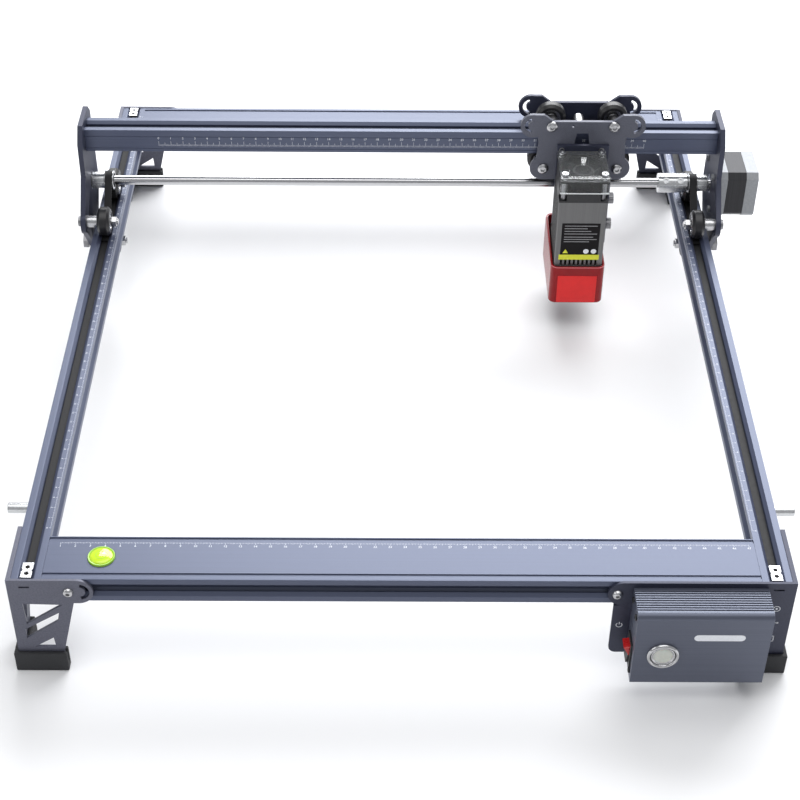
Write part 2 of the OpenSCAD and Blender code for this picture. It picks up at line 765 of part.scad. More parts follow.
// The rear plate reaches lower, where the motor hangs behind it
module carriage_rear_plate() color(slate) translate([carriage_x, 0, 0]) along_y(c_rear, c_rear + c_plate_t)
    difference() {
        union() {
            carriage_plate_2d();
            translate([-21, x_pulley_z - 21]) square([42, 24]);
        }
        translate([0, x_pulley_z]) circle(r = 11.2);
        for (dx = [-hole_pitch, hole_pitch], dz = [-hole_pitch, hole_pitch])
            translate([dx, x_pulley_z + dz]) circle(r = 1.7);
    }

// One wheel's bolt with its head in front, two spacers and a nut behind
module carriage_axle(x, z) {
    near = gantry_y - wheel_w / 2 - 0.3;
    far = gantry_y + wheel_w / 2 + 0.3;
    rod_y(axle_r, c_front_face, c_rear + c_plate_t + 5, x, z);
    translate([x, c_front_face, z]) rotate([90, 0, 0]) rotate_extrude()
        polygon([[0, 0], [4.7, 0], [4.4, 1.6], [2.8, 2.8], [0, 3]]);
    rod_y(5, c_front, near - 1, x, z);
    rod_y(3.6, near - 1, near, x, z);
    rod_y(3.6, far, far + 1, x, z);
    rod_y(5, far + 1, c_rear, x, z);
    translate([x, c_rear + c_plate_t + 4, z]) rotate([90, 0, 0]) cylinder(h = 4, r = 4.6, $fn = 6);
}

// The four wheel bolts, and the short stud pressed into the front plate
module carriage_axles() color(steel) {
    for (place = wheel_places) carriage_axle(carriage_x + place[0], place[1]);
    rod_y(4.8, c_front, c_front + 16, carriage_x + stud_dx, stud_z);
    rod_y(1.5, c_front - 1.9, c_front + 1, carriage_x + stud_dx, stud_z);
}

module x_belt_loop() color(blackened) along_y(gantry_y - belt_w / 2, gantry_y + belt_w / 2)
    mirror([0, 1]) belt_loop_2d([carriage_x - low_wheel_dx, -low_wheel_z], [carriage_x, -x_pulley_z],
        [carriage_x + low_wheel_dx, -low_wheel_z]);

module x_motor() color(blackened) {
    front = c_rear + c_plate_t;
    difference() {
        union() {
            translate([carriage_x, 0, x_pulley_z]) along_y(front, front + x_motor_l) motor_face_2d(motor_w);
            rod_y(11, front - c_plate_t, front, carriage_x, x_pulley_z);
            for (dx = [-hole_pitch, hole_pitch], dz = [-hole_pitch, hole_pitch]) {
                rod_y(1.6, front - c_plate_t, front, carriage_x + dx, x_pulley_z + dz);
                rod_y(2.8, front - c_plate_t - 1.5, front - c_plate_t, carriage_x + dx, x_pulley_z + dz);
            }
        }
        rod_y(motor_shaft_r + 0.05, front - 5, front + x_motor_l - 5, carriage_x, x_pulley_z);
    }
}

// The motor's own shaft and the pulley pressed on it
module x_pulley() color(steel) {
    p = pulley_l / 2;
    rod_y(motor_shaft_r, gantry_y - p, c_rear + c_plate_t + x_motor_l - 6, carriage_x, x_pulley_z);
    rod_y(pulley_r, gantry_y - p, gantry_y + p, carriage_x, x_pulley_z);
    for (y = [gantry_y - p, gantry_y + p - 0.9]) rod_y(flange_r, y, y + 0.9, carriage_x, x_pulley_z);
    rod_y(7, gantry_y + p, c_rear - 1, carriage_x, x_pulley_z);
}

// A folded plate behind and to the right of the head, with a slot for each thumb screw
module laser_bracket() color(slate) {
    right = carriage_x + half + bracket_gap;
    back = c_front_face;
    block([carriage_x - half, back - bracket_back_t, 78], [right + sheet, back, 155.2]);
    difference() {
        block([right, thumb_y - 7, 77.5], [right + sheet, back - bracket_back_t, 133]);
        for (z = thumb_z) {
            slot_r = thumb_r + 0.2;
            block([right - 1, thumb_y - slot_r, z - lift], [right + 3, thumb_y + slot_r, z + lift]);
            for (end = [-lift, lift]) rod_x(slot_r, right - 1, right + 3, thumb_y, z + end);
        }
    }
    for (side = [-1, 1]) rod_y(1.5, back, c_front, carriage_x + side * 16.3, 152.6);
}

// ---- Laser head ----

// Plan of the heat sink: a smooth front skin, a core, and fins to both sides
module sink_2d() {
    fin_pitch = 2.8;
    square_at(-half, half, sink_front, sink_front + 3);
    square_at(-7, 7, sink_front, sink_back);
    for (y = [sink_front + fin_pitch + 1.4:fin_pitch:sink_back - 1.2]) square_at(-half, half, y, y + 1.2);
    square_at(5, half, thumb_y - 5, thumb_y + 5);
}

module square_at(x0, x1, y0, y1) translate([x0, y0]) square([x1 - x0, y1 - y0]);

module heat_sink() color(gunmetal) difference() {
    translate([carriage_x, 0, sink_z]) linear_extrude(sink_top - sink_z) sink_2d();
    for (i = [-4:4]) block([carriage_x + i * 3.6 - 0.9, sink_front - 1, sink_z - 1],
        [carriage_x + i * 3.6 + 0.9, sink_front + 3, sink_z + 6]);
    for (z = thumb_z) rod_x(thumb_r + 0.05, carriage_x + half - 10, carriage_x + half + 1, thumb_y, z);
}

// The lower block that holds the laser diode, with two ears that carry the hood
module diode_block() color(gunmetal) {
    x = carriage_x;
    inner = hood_w / 2 - hood_t;
    block([x - 18, sink_front + 2, 36], [x + 18, hood_back - hood_t - 2, 60]);
    block([x - half, sink_front, 60], [x + half, sink_back, sink_z]);
    for (side = [-1, 1]) block([min(x + side * 18, x + side * inner), head_y - 8, 44],
        [max(x + side * 18, x + side * inner), head_y + 12, 56]);
}

module lens_barrel() color(steel) difference() {
    translate([carriage_x, head_y, 30]) cylinder(h = 6, r = 9);
    translate([carriage_x, head_y, 29]) cylinder(h = 8, r = 3.5);
}

module fan_frame() color(blackened) translate([carriage_x, head_y, 0]) {
    difference() {
        translate([-half, -half, sink_top]) cube([head_w, head_w, fan_top - sink_top]);
        translate([0, 0, sink_top + 1.5]) cylinder(h = 30, r = 18.6);
        translate([0, 0, sink_top - 1]) difference() {
            cylinder(h = 4, r = 17.5);
            cylinder(h = 9, r = 8.5, center = true);
            for (a = [0:60:300]) rotate(a) translate([0, -1, 0]) cube([20, 2, 4]);
        }
        for (x = [-screw_pitch, screw_pitch], y = [-screw_pitch, screw_pitch])
            translate([x, y, sink_top - 1]) cylinder(h = 30, r = 1.6);
    }
    translate([0, 0, sink_top + 1.5]) cylinder(h = 13, r = 1.5);
}

module fan_rotor() color([0.16, 0.16, 0.17]) translate([carriage_x, head_y, sink_top + 3]) difference() {
    union() {
        cylinder(h = 15, r = 9);
        for (a = [0:360 / 7:359]) rotate(a) intersection() {
            translate([8, 0, 7.5]) rotate([38, 0, 0]) translate([0, -0.7, -9]) cube([9.8, 1.4, 18]);
            translate([0, 0, 1]) cylinder(h = 13, r = 17.8);
        }
    }
    translate([0, 0, -1]) cylinder(h = 13, r = 1.55);
}

module clear_cover() color([0.85, 0.9, 0.9, 0.35]) difference() {
    union() {
        block([carriage_x - half, sink_front - cover_t, cover_top - cover_t],
            [carriage_x + half, sink_back, cover_top]);
        block([carriage_x - half, sink_front - cover_t, 135.5],
            [carriage_x + half, sink_front, cover_top]);
    }
    for (x = [-screw_pitch, screw_pitch], y = [-screw_pitch, screw_pitch])
        translate([carriage_x + x, head_y + y, cover_top - 3]) cylinder(h = 5, r = 1.6);
}

module cover_screws() color([0.95, 0.95, 0.95])
    for (x = [-screw_pitch, screw_pitch], y = [-screw_pitch, screw_pitch])
    translate([carriage_x + x, head_y + y, 0]) {
        translate([0, 0, sink_top + 2]) cylinder(h = cover_top - sink_top - 2, r = 1.5);
        translate([0, 0, fan_top]) cylinder(h = cover_top - cover_t - fan_top, r = 3);
        translate([0, 0, cover_top]) cylinder(h = 1.8, r = 2.8);
    }

// Plan of the hood in X-Y, rounded at its upright corners
module hood_2d(inset) {
    w = hood_w / 2 - inset;
    r = hood_r - inset;
    square_at(-w, w, hood_front + inset + r, hood_back - inset - r);
    square_at(-w + r, w - r, hood_front + inset, hood_back - inset);
    for (x = [-w + r, w - r], y = [hood_front + inset + r, hood_back - inset - r])
        translate([x, y]) circle(r = r);
}

// An open skirt round the lower part of the head, a little higher at the back
module red_hood() color([0.85, 0.15, 0.15]) translate([carriage_x, 0, 0]) difference() {
    translate([0, 0, hood_z]) linear_extrude(hood_back_h) hood_2d(0);
    translate([0, 0, hood_z - 1]) linear_extrude(hood_back_h + 2) hood_2d(hood_t);
    along_x(-hood_w, hood_w) polygon([
        [hood_front - 1, hood_z + hood_front_h], [hood_back + 1, hood_z + hood_back_h],
        [hood_back + 1, hood_z + 60], [hood_front - 1, hood_z + 60]
    ]);
}

module thumb_screw(z) color(steel) {
    x = carriage_x + half;
    rod_x(thumb_r, x - 8, x + bracket_gap + sheet + 0.3, thumb_y, z);
    difference() {
        rod_x(4.6, x + bracket_gap + sheet + 0.3, x + bracket_gap + sheet + 4.6, thumb_y, z);
        for (a = [0:30:330]) translate([0, thumb_y, z]) rotate([a, 0, 0]) rod_x(0.6, x + 2.5, x + 8, 0, 4.8);
    }
}

place() side_rail(-1);  // left_rail
place() side_rail(1);  // right_rail
place() front_beam();
place() rear_beam();
place() front_left_bracket();
place() front_right_bracket();
place() rear_left_bracket();
place() rear_right_bracket();
place() feet();
place() frame_bolts();
place() bubble_level();
place() y_belts();
place() belt_clamps();
place() stop_pins();
place() box_shell();
place() box_ends();
place() control_board();
place() button_bezel();
place() switch_housing();
place() box_ports();
place() start_button();
place() power_rocker();
place() x_beam();
place() left_gantry_plate();
place() right_gantry_plate();
place() gantry_axles();
place() y_motor();
place() shaft_bearings();
place() gantry_belts();
place() sync_shaft();
place() motor_shaft();
place() shaft_coupler();
place() drive_pulleys();
place() y_wheel(-1, wheel_spots[0]);  // left_front_wheel
place() y_wheel(-1, wheel_spots[1]);  // left_rear_wheel
place() y_wheel(-1, wheel_spots[2]);  // left_lower_wheel
place() y_wheel(1, wheel_spots[0]);  // right_front_wheel
place() y_wheel(1, wheel_spots[1]);  // right_rear_wheel
place() y_wheel(1, wheel_spots[2]);  // right_lower_wheel
place() carriage_front_plate();
place() carriage_rear_plate();
place() carriage_axles();
place() x_belt_loop();
place() x_motor();
place() laser_bracket();
place() x_wheel(-top_wheel_dx, top_wheel_z);  // upper_left_wheel
place() x_wheel(top_wheel_dx, top_wheel_z);  // upper_right_wheel
place() x_wheel(-low_wheel_dx, low_wheel_z);  // bottom_left_wheel
place() x_wheel(low_wheel_dx, low_wheel_z);  // bottom_right_wheel
place() x_pulley();
place() heat_sink();
place() diode_block();
place() lens_barrel();
place() fan_frame();
place() fan_rotor();
place() clear_cover();
place() cover_screws();
place() red_hood();
place() thumb_screw(thumb_z[0]);  // upper_thumb_screw
place() thumb_screw(thumb_z[1]);  // lower_thumb_screw
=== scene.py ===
import json
import math

import bpy
from mathutils import Matrix, Vector


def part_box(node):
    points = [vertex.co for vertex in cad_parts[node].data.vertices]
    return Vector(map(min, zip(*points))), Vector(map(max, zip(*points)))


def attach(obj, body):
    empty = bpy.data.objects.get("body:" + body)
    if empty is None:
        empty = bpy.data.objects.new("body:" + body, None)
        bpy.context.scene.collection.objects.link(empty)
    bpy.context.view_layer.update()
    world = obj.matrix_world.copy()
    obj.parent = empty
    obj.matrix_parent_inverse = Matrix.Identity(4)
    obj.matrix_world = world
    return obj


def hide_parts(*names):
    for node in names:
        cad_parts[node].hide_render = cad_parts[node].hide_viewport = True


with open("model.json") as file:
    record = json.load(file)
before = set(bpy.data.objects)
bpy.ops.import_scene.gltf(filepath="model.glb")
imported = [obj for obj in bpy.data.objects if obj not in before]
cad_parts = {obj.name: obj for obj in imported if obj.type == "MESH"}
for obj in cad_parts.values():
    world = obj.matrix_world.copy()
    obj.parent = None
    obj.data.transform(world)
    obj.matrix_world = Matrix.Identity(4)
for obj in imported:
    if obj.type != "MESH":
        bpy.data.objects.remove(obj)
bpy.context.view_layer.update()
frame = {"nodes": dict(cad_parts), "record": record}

MM = 0.001
MOTOR_HOLE = 15.5             # mm from a motor's middle to its screws
FAN_HOLE, FAN_CUT = 16, 18.6  # mm from the fan's middle to its screws, and to its open corners
BRACKET_HOLE = 16.3           # mm from the head's middle to the bracket's screws
CLAMP_HOLES = (4.8, 10.6)     # mm from a rail's end to the clamp's two screws
X, Y, Z = Vector((1, 0, 0)), Vector((0, 1, 0)), Vector((0, 0, 1))
BODY = {n: b for b, nodes in frame["record"]["behaviour"]["bodies"].items() for n in nodes}
SLOT = {p["node"]: p["material_slot"] for p in frame["record"]["subparts"]}


# ---- Materials ----

def finish_of(name, colour, rough, metal=0.0, grain=(60, 60, 60), tone=0.12, bump=0.0, fine=1.0,
              detail=6, **sockets):
    """A finish with its own grain: stretched noise for tone and roughness, finer noise for bump."""
    m = bpy.data.materials.new(name)
    m.use_nodes = True
    tree = m.node_tree
    new, link = tree.nodes.new, tree.links.new
    shader = tree.nodes["Principled BSDF"]
    place = new("ShaderNodeTexCoord")
    stretch = new("ShaderNodeMapping")
    stretch.inputs["Scale"].default_value = grain
    link(place.outputs["Object"], stretch.inputs["Vector"])
    streaks = new("ShaderNodeTexNoise")
    streaks.inputs["Scale"].default_value = 1.0
    streaks.inputs["Detail"].default_value = detail
    streaks.inputs["Roughness"].default_value = 0.62
    link(stretch.outputs["Vector"], streaks.inputs["Vector"])
    shades = new("ShaderNodeValToRGB")
    shades.color_ramp.elements[0].position = 0.3
    shades.color_ramp.elements[1].position = 0.7
    shades.color_ramp.elements[0].color = (*[c * (1 - tone) for c in colour], 1)
    shades.color_ramp.elements[1].color = (*[min(1, c * (1 + tone)) for c in colour], 1)
    link(streaks.outputs["Fac"], shades.inputs["Fac"])
    link(shades.outputs["Color"], shader.inputs["Base Color"])
    spread = new("ShaderNodeMapRange")
    spread.inputs["To Min"].default_value = rough * 0.85
    spread.inputs["To Max"].default_value = min(1, rough * 1.15)
    link(streaks.outputs["Fac"], spread.inputs["Value"])
    link(spread.outputs["Result"], shader.inputs["Roughness"])
    if bump:
        pores = new("ShaderNodeTexNoise")
        pores.inputs["Scale"].default_value = fine
        pores.inputs["Detail"].default_value = 3
        link(stretch.outputs["Vector"], pores.inputs["Vector"])
        relief = new("ShaderNodeBump")
        relief.inputs["Strength"].default_value = bump
        relief.inputs["Distance"].default_value = 0.05 * MM
        link(pores.outputs["Fac"], relief.inputs["Height"])
        link(relief.outputs["Normal"], shader.inputs["Normal"])
    shader.inputs["Metallic"].default_value = metal
    for socket, value in sockets.items():
        shader.inputs[socket.replace("_", " ")].default_value = value
    m.diffuse_color = (*colour, 1)
    return m


BLUE_GREY = (0.06, 0.07, 0.118)
SHEEN = {"IOR": 1.7, "Specular_Tint": (0.8, 0.87, 1, 1)}
rail_finish = finish_of("anodised_along_rails", BLUE_GREY, 0.36, 0.2, (900, 5, 900), 0.07, 0.12, **SHEEN)
beam_finish = finish_of("anodised_along_beams", BLUE_GREY, 0.36, 0.2, (5, 900, 900), 0.07, 0.12, **SHEEN)
plate_finish = finish_of("sandblasted_slate", (0.034, 0.038, 0.066), 0.46, 0.3, (900, 900, 900), 0.16, 0.25)
# A lighter copy of the slate finish: painted light on the left brackets, which are the same slate as the
# right ones
slate_painted_lit = finish_of("sandblasted_slate_painted_lit", (0.11, 0.114, 0.15), 0.46, 0.3, (900, 900, 900), 0.2, 0.25)
carriage_finish = finish_of("sandblasted_grey", (0.105, 0.11, 0.14), 0.46, 0.3, (1200, 1200, 1200), 0.25, 0.3)
shell_finish = finish_of("anodised_box_shell", (0.078, 0.085, 0.118), 0.34, 0.25, (5, 900, 900),
                         0.08, 0.14, **SHEEN)
rubber = finish_of("moulded_rubber", (0.022, 0.023, 0.026), 0.72, 0, (700, 700, 700), 0.25, 0.5)
belt_finish = finish_of("belt_rubber", (0.008, 0.008, 0.009), 0.7, 0, (300, 300, 300), 0.3, 0.4)
wheel_finish = finish_of("turned_black_nylon", (0.012, 0.012, 0.014), 0.34, 0, (500, 500, 500), 0.2, 0.1)
steel = finish_of("zinc_plated_steel", (0.5, 0.5, 0.51), 0.26, 1.0, (400, 400, 400), 0.1, 0.1)
polished = finish_of("ground_shaft_steel", (0.52, 0.52, 0.53), 0.16, 1.0, (3, 1200, 1200), 0.05, 0.05)
bright = finish_of("turned_aluminium", (0.6, 0.61, 0.62), 0.26, 0.95, (600, 600, 600), 0.08, 0.1)
# Black plastic, also painted on the red rocker's lower half as painted shade
plastic_and_rocker_shade = finish_of("black_plastic_and_painted_rocker_shade", (0.016, 0.016, 0.018), 0.45, 0, (600, 600, 600), 0.2, 0.3)
dark_screw = finish_of("black_oxide_steel", (0.03, 0.03, 0.032), 0.38, 0.8, (500, 500, 500), 0.15, 0.1)
dull_steel = finish_of("phosphated_steel", (0.25, 0.25, 0.26), 0.34, 1.0, (500, 500, 500), 0.15, 0.1)
stack_finish = finish_of("motor_laminations", (0.02, 0.02, 0.023), 0.4, 0.5, (2400, 20, 20), 0.4, 0.4)
cap_finish = finish_of("die_cast_motor_cap", (0.27, 0.28, 0.295), 0.5, 0.5, (500, 500, 500), 0.12, 0.3)
gunmetal = finish_of("gunmetal_anodised", (0.155, 0.155, 0.155), 0.42, 0.5, (700, 700, 9), 0.09, 0.12)
level_green = finish_of("level_liquid", (0.66, 0.9, 0.03), 0.08, 0, (90, 90, 90), 0.05,
                        Transmission_Weight=0.25, IOR=1.45, Coat_Weight=0.6)
level_rim = finish_of("level_housing", (0.34, 0.62, 0.06), 0.3, 0, (200, 200, 200), 0.08, Coat_Weight=0.3)
bubble_finish = finish_of("level_bubble", (0.83, 0.97, 0.4), 0.05, 0, (200, 200, 200), 0.03, Coat_Weight=1.0)
button_lens = finish_of("frosted_button_lens", (0.62, 0.61, 0.55), 0.42, 0, (260, 260, 260), 0.08, 0.2,
                        Subsurface_Weight=0.15, Coat_Weight=0.3)
red_plastic = finish_of("red_rocker_plastic", (0.56, 0.012, 0.012), 0.28, 0, (300, 300, 300), 0.08,
                        Coat_Weight=0.5)
hood_dark_red = finish_of("red_tinted_shield", (0.27, 0.006, 0.009), 0.25, 0, (120, 120, 120), 0.1,
                          IOR=1.3, Coat_Weight=0.08)
hood_red = finish_of("red_painted_panel", (0.76, 0.03, 0.03), 0.4, 0, (180, 180, 180), 0.05, 0.05,
                     IOR=1.3)
# A pink painted highlight for the hood's top rim and its upper front bevel
rim_painted_highlight = finish_of("shield_rim_painted_highlight", (0.68, 0.14, 0.16), 0.2, 0, (180, 180, 180), 0.05, Coat_Weight=1.0)
glass = finish_of("clear_acrylic", (0.96, 0.98, 0.98), 0.04, 0, (40, 40, 40), 0.01,
                  Transmission_Weight=0.96, IOR=1.3)
# An opaque white strip finish: painted highlight for the bright line along the clear skirt's lower edge
edge_painted_highlight = finish_of("acrylic_edge_painted_highlight", (0.92, 0.95, 0.95), 0.35, 0, (300, 300, 300), 0.05)
lens_glass = finish_of("coated_lens", (0.1, 0.16, 0.42), 0.05, 0, (90, 90, 90), 0.1,
                       Transmission_Weight=0.4, IOR=1.6, Coat_Weight=1.0)
ink = finish_of("white_print", (0.78, 0.8, 0.84), 0.5, 0, (900, 900, 900), 0.06)
faint_ink = finish_of("grey_label_print", (0.27, 0.27, 0.28), 0.5, 0, (900, 900, 900), 0.2)
label_black = finish_of("label_film", (0.009, 0.008, 0.009), 0.7, 0, (500, 500, 500), 0.15, IOR=1.25)
# A near-black copy of the heat sink's finish: painted shade for its sides and the gaps between its fins
fins_painted_shade = finish_of("heat_sink_painted_shade", (0.02, 0.02, 0.021), 0.45, 0.3, (700, 700, 9), 0.15, 0.12)
label_yellow = finish_of("yellow_label_film", (0.7, 0.72, 0.03), 0.45, 0, (500, 500, 500), 0.06)
board_green = finish_of("circuit_board", (0.01, 0.09, 0.035), 0.4, 0, (300, 300, 300), 0.3, Coat_Weight=0.4)


# ---- Modelling helpers ----

def solo(*objects):
    if bpy.context.object and bpy.context.object.mode != "OBJECT":
        bpy.ops.object.mode_set(mode="OBJECT")
    bpy.ops.object.select_all(action="DESELECT")
    for o in objects:
        o.select_set(True)
    bpy.context.view_layer.objects.active = objects[0]
    return objects[0]


def named(name):
    o = bpy.context.object
    o.name = o.data.name = name
    return o


def settle():
    """The active object's place goes into its mesh, and its object to the origin."""
    bpy.ops.object.transform_apply(location=True, rotation=True, scale=True)


def bar(name, low, high):
    solo(next(iter(frame["nodes"].values())))
    bpy.ops.object.select_all(action="DESELECT")
    low, high = Vector(low), Vector(high)
    bpy.ops.mesh.primitive_cube_add(size=1, location=(low + high) / 2, scale=high - low)
    o = named(name)
    solo(o)
    settle()
    return o


AXES = {"x": Matrix.Rotation(math.pi / 2, 4, "Y"), "y": Matrix.Rotation(-math.pi / 2, 4, "X"),
        "z": Matrix.Identity(4), "-x": Matrix.Rotation(-math.pi / 2, 4, "Y"),
        "-y": Matrix.Rotation(math.pi / 2, 4, "X"), "-z": Matrix.Rotation(math.pi, 4, "X")}


def put(o, centre, axis="z", turn=0.0):
    """A shape drawn round the origin is turned so that its +Z looks along the axis, and moved."""
    solo(o)
    o.matrix_world = Matrix.Translation(centre) @ AXES[axis] @ Matrix.Rotation(turn, 4, "Z")
    bpy.context.view_layer.update()
    settle()
    return o


def stamp(model, name, centre, axis="z", turn=0.0):
    """A copy of a model, with its own mesh."""
    o = model.copy()
    o.data = model.data.copy()
    o.name = o.data.name = name
    bpy.context.scene.collection.objects.link(o)
    return put(o, centre, axis, turn)


def drop(*models):
    for o in models:
        bpy.data.objects.remove(o)


def join(name, parts):
    solo(*parts)
    if len(parts) > 1:
        bpy.ops.object.join()
    return named(name)


def edit(o, pick=None, kind="FACE"):
    """Edit mode with the faces or edges that pick() takes selected, or with everything."""
    solo(o)
    bpy.ops.object.mode_set(mode="EDIT")
    bpy.ops.mesh.select_mode(type=kind)
    bpy.ops.mesh.select_all(action="SELECT" if pick is None else "DESELECT")
    if pick is None:
        return
    bpy.ops.object.mode_set(mode="OBJECT")
    me = o.data
    for f in me.polygons:
        f.select = kind == "FACE" and pick(f)
    if kind == "VERT":
        for v in me.vertices:
            v.select = pick(v)
    if kind == "EDGE":
        for e in me.edges:
            e.select = pick([me.vertices[i].co for i in e.vertices])
    bpy.ops.object.mode_set(mode="EDIT")


def leave():
    bpy.ops.object.mode_set(mode="OBJECT")


def bevelled(o, width, segments=2, angle=30):
    solo(o)
    b = o.modifiers.new("edges", "BEVEL")
    b.width = width * MM
    b.segments = segments
    b.limit_method = "ANGLE"
    b.angle_limit = math.radians(angle)
    b.harden_normals = False
    bpy.ops.object.modifier_apply(modifier=b.name)
    return o


def smooth(o, angle=35):
    solo(o)
    bpy.ops.object.shade_smooth_by_angle(angle=math.radians(angle))
    return o


def finished(o, body, material, slot, *replaced, angle=35):
    o.data.materials.clear()
    o.data.materials.append(material)
    smooth(o, angle)
    if replaced:
        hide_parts(*replaced)
    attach(o, body)
    return o


def turned(name, profile, centre=(0, 0, 0), axis="z", steps=48, turn=0.0):
    """A shape turned on a lathe, from (radius, height) points in millimetres."""
    me = bpy.data.meshes.new(name)
    me.from_pydata([(r * MM, 0, h * MM) for r, h in profile],
                   [(i, i + 1) for i in range(len(profile) - 1)], [])
    o = bpy.data.objects.new(name, me)
    bpy.context.scene.collection.objects.link(o)
    edit(o)
    bpy.ops.mesh.spin(steps=steps, angle=math.tau, center=(0, 0, 0), axis=(0, 0, 1))
    bpy.ops.mesh.select_all(action="SELECT")
    bpy.ops.mesh.remove_doubles(threshold=1e-6)
    bpy.ops.mesh.normals_make_consistent(inside=False)
    leave()
    return put(o, centre, axis, turn)


def cut_sheet(name, outline, thick, centre=(0, 0, 0), axis="z", turn=0.0):
    """A flat shape of the given thickness, from an outline in millimetres."""
    me = bpy.data.meshes.new(name)
    me.from_pydata([(u * MM, v * MM, 0) for u, v in outline], [], [list(range(len(outline)))])
    o = bpy.data.objects.new(name, me)
    bpy.context.scene.collection.objects.link(o)
    edit(o)
    bpy.ops.mesh.extrude_region_move(TRANSFORM_OT_translate={"value": (0, 0, thick * MM)})
    bpy.ops.mesh.select_all(action="SELECT")
    bpy.ops.mesh.normals_make_consistent(inside=False)
    leave()
    return put(o, centre, axis, turn)


def circle_points(r, n=24, start=0.0, sweep=math.tau):
    last = n if sweep < math.tau else n - 1
    return [(r * math.cos(start + sweep * i / n), r * math.sin(start + sweep * i / n))
            for i in range(last + 1)]


def arc_band(r0, r1, start, sweep, n=20):
    return circle_points(r1, n, start, sweep) + circle_points(r0, n, start, sweep)[::-1]


def pill_points(w, h, n=8):
    r = h / 2
    right = [(w / 2 - r + x, y) for x, y in circle_points(r, n, -math.pi / 2, math.pi)]
    return right + [(-x, -y) for x, y in right]


def box_of(node):
    low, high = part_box(node)
    return low, high, (low + high) / 2, high - low


def refined(node, material, width=0.25, cutters=(), rounded=None):
    """A CAD node's own shape, which stands for the node: seams merged, sockets cut, edges broken."""
    source = frame["nodes"][node]
    o = source.copy()
    o.data = source.data.copy()
    o.parent = None
    o.name = o.data.name = f"{node}_finished"
    for key in list(o.keys()):
        del o[key]
    bpy.context.scene.collection.objects.link(o)
    o.matrix_world = Matrix.Identity(4)
    edit(o)
    bpy.ops.mesh.remove_doubles(threshold=2e-6)
    bpy.ops.mesh.dissolve_limited(angle_limit=math.radians(0.6))
    leave()
    if o.data.has_custom_normals:
        bpy.ops.mesh.customdata_custom_splitnormals_clear()
    for cutter in cutters:
        carved(o, cutter)
    if rounded:
        edit(o, rounded[1], "EDGE")
        bpy.ops.mesh.bevel(offset=rounded[0] * MM, segments=3)
        leave()
    bevelled(o, width)
    finished(o, BODY[node], material, SLOT[node], node)
    even = o.modifiers.new("even", "WEIGHTED_NORMAL")
    even.keep_sharp = True
    solo(o)
    bpy.ops.object.modifier_apply(modifier=even.name)
    return o


# ---- The view and the light ----

view_yaw, view_pitch, view_roll = math.radians(0.412), math.radians(39.865), math.radians(-0.53)
ahead = Vector((math.sin(view_yaw) * math.cos(view_pitch), math.cos(view_yaw) * math.cos(view_pitch),
                -math.sin(view_pitch)))
across = Vector((math.cos(view_yaw), -math.sin(view_yaw), 0))
down = ahead.cross(across)
across, down = (across * math.cos(view_roll) + down * math.sin(view_roll),
                down * math.cos(view_roll) - across * math.sin(view_roll))
bpy.ops.object.select_all(action="DESELECT")
bpy.ops.object.camera_add()
camera = bpy.context.object
camera.name = "view"
camera.data.lens = 76.57
camera.data.sensor_width = 36
camera.data.clip_end = 50
front_low, front_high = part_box("front_beam")
camera.matrix_world = Matrix.Translation(((front_low.x + front_high.x) / 2 - 0.008,
                                          front_low.y - 0.7778, 0.8874)) @ Matrix(
    [[across[i], -down[i], -ahead[i]] for i in range(3)]).to_4x4()
bpy.context.scene.camera = camera
bpy.context.scene.view_settings.view_transform = "Standard"


def soft_light(name, place, aim, wide, high, watts, tint=(1, 1, 1)):
    bpy.ops.object.light_add(type="AREA", location=place)
    lamp = bpy.context.object
    lamp.name = name
    lamp.rotation_euler = (Vector(place) - Vector(aim)).to_track_quat("Z", "Y").to_euler()
    lamp.data.shape = "RECTANGLE"
    lamp.data.size, lamp.data.size_y = wide, high
    lamp.data.energy = watts
    lamp.data.color = tint


soft_light("back_softbox", (0.7, 2.3, 2.0), (0.1, 0, 0), 3.2, 2.0, 140, (0.97, 0.98, 1))
soft_light("top_softbox", (0.1, -0.2, 2.4), (0, 0, 0), 2.4, 2.2, 30)
soft_light("left_fill", (-2.2, -0.6, 1.3), (0, 0, 0.05), 1.2, 1.2, 6)

world = bpy.data.worlds.new("studio")
bpy.context.scene.world = world
world.use_nodes = True
world.node_tree.nodes["Background"].inputs["Color"].default_value = (0.96, 0.975, 1, 1)
world.node_tree.nodes["Background"].inputs["Strength"].default_value = 0.5

bpy.ops.object.select_all(action="DESELECT")
bpy.ops.mesh.primitive_plane_add(size=14, location=(0, 2, 0))
floor = named("floor")
settle()
floor.data.materials.append(finish_of("pale_floor", (0.86, 0.86, 0.865), 0.62, 0, (2, 2, 2), 0.01, 0.02))


# ---- Places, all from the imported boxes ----

rail_low, rail_high, rail_mid, _ = box_of("left_rail")
right_rail_low, _, right_rail_mid, _ = box_of("right_rail")
rail_top = rail_high.z
beam_low, _, beam_mid, _ = box_of("x_beam")
shaft_mid = box_of("sync_shaft")[2]
sink_low, _, sink_mid, sink_size = box_of("heat_sink")
shell_low, shell_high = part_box("box_shell")
button_mid = box_of("start_button")[2]
head_mid = box_of("fan_rotor")[2]
WHEELS = [n for n in frame["nodes"] if n.endswith("_wheel")]


# ---- Folded, extruded and machined parts ----

def hex_cutter(spots, axis, r, depth):
    """Six-sided pegs, sunk by depth at each spot, for sockets."""
    peg = turned("peg", [(0, -depth), (r, -depth), (r, 3), (0, 3)], steps=6)
    pegs = [stamp(peg, f"peg_{i}", spot, axis) for i, spot in enumerate(spots)]
    drop(peg)
    return join("pegs", pegs)


def carved(o, cutter):
    solo(o)
    cut = o.modifiers.new("sockets", "BOOLEAN")
    cut.operation, cut.solver, cut.object = "DIFFERENCE", "EXACT", cutter
    bpy.ops.object.modifier_apply(modifier=cut.name)
    drop(cutter)
    return o


def painted(o, material, pick):
    """Gives the faces that pick() takes a second finish."""
    o.data.materials.append(material)
    last = len(o.data.materials) - 1
    for f in o.data.polygons:
        if pick(f.center, f.normal):
            f.material_index = last
    return o


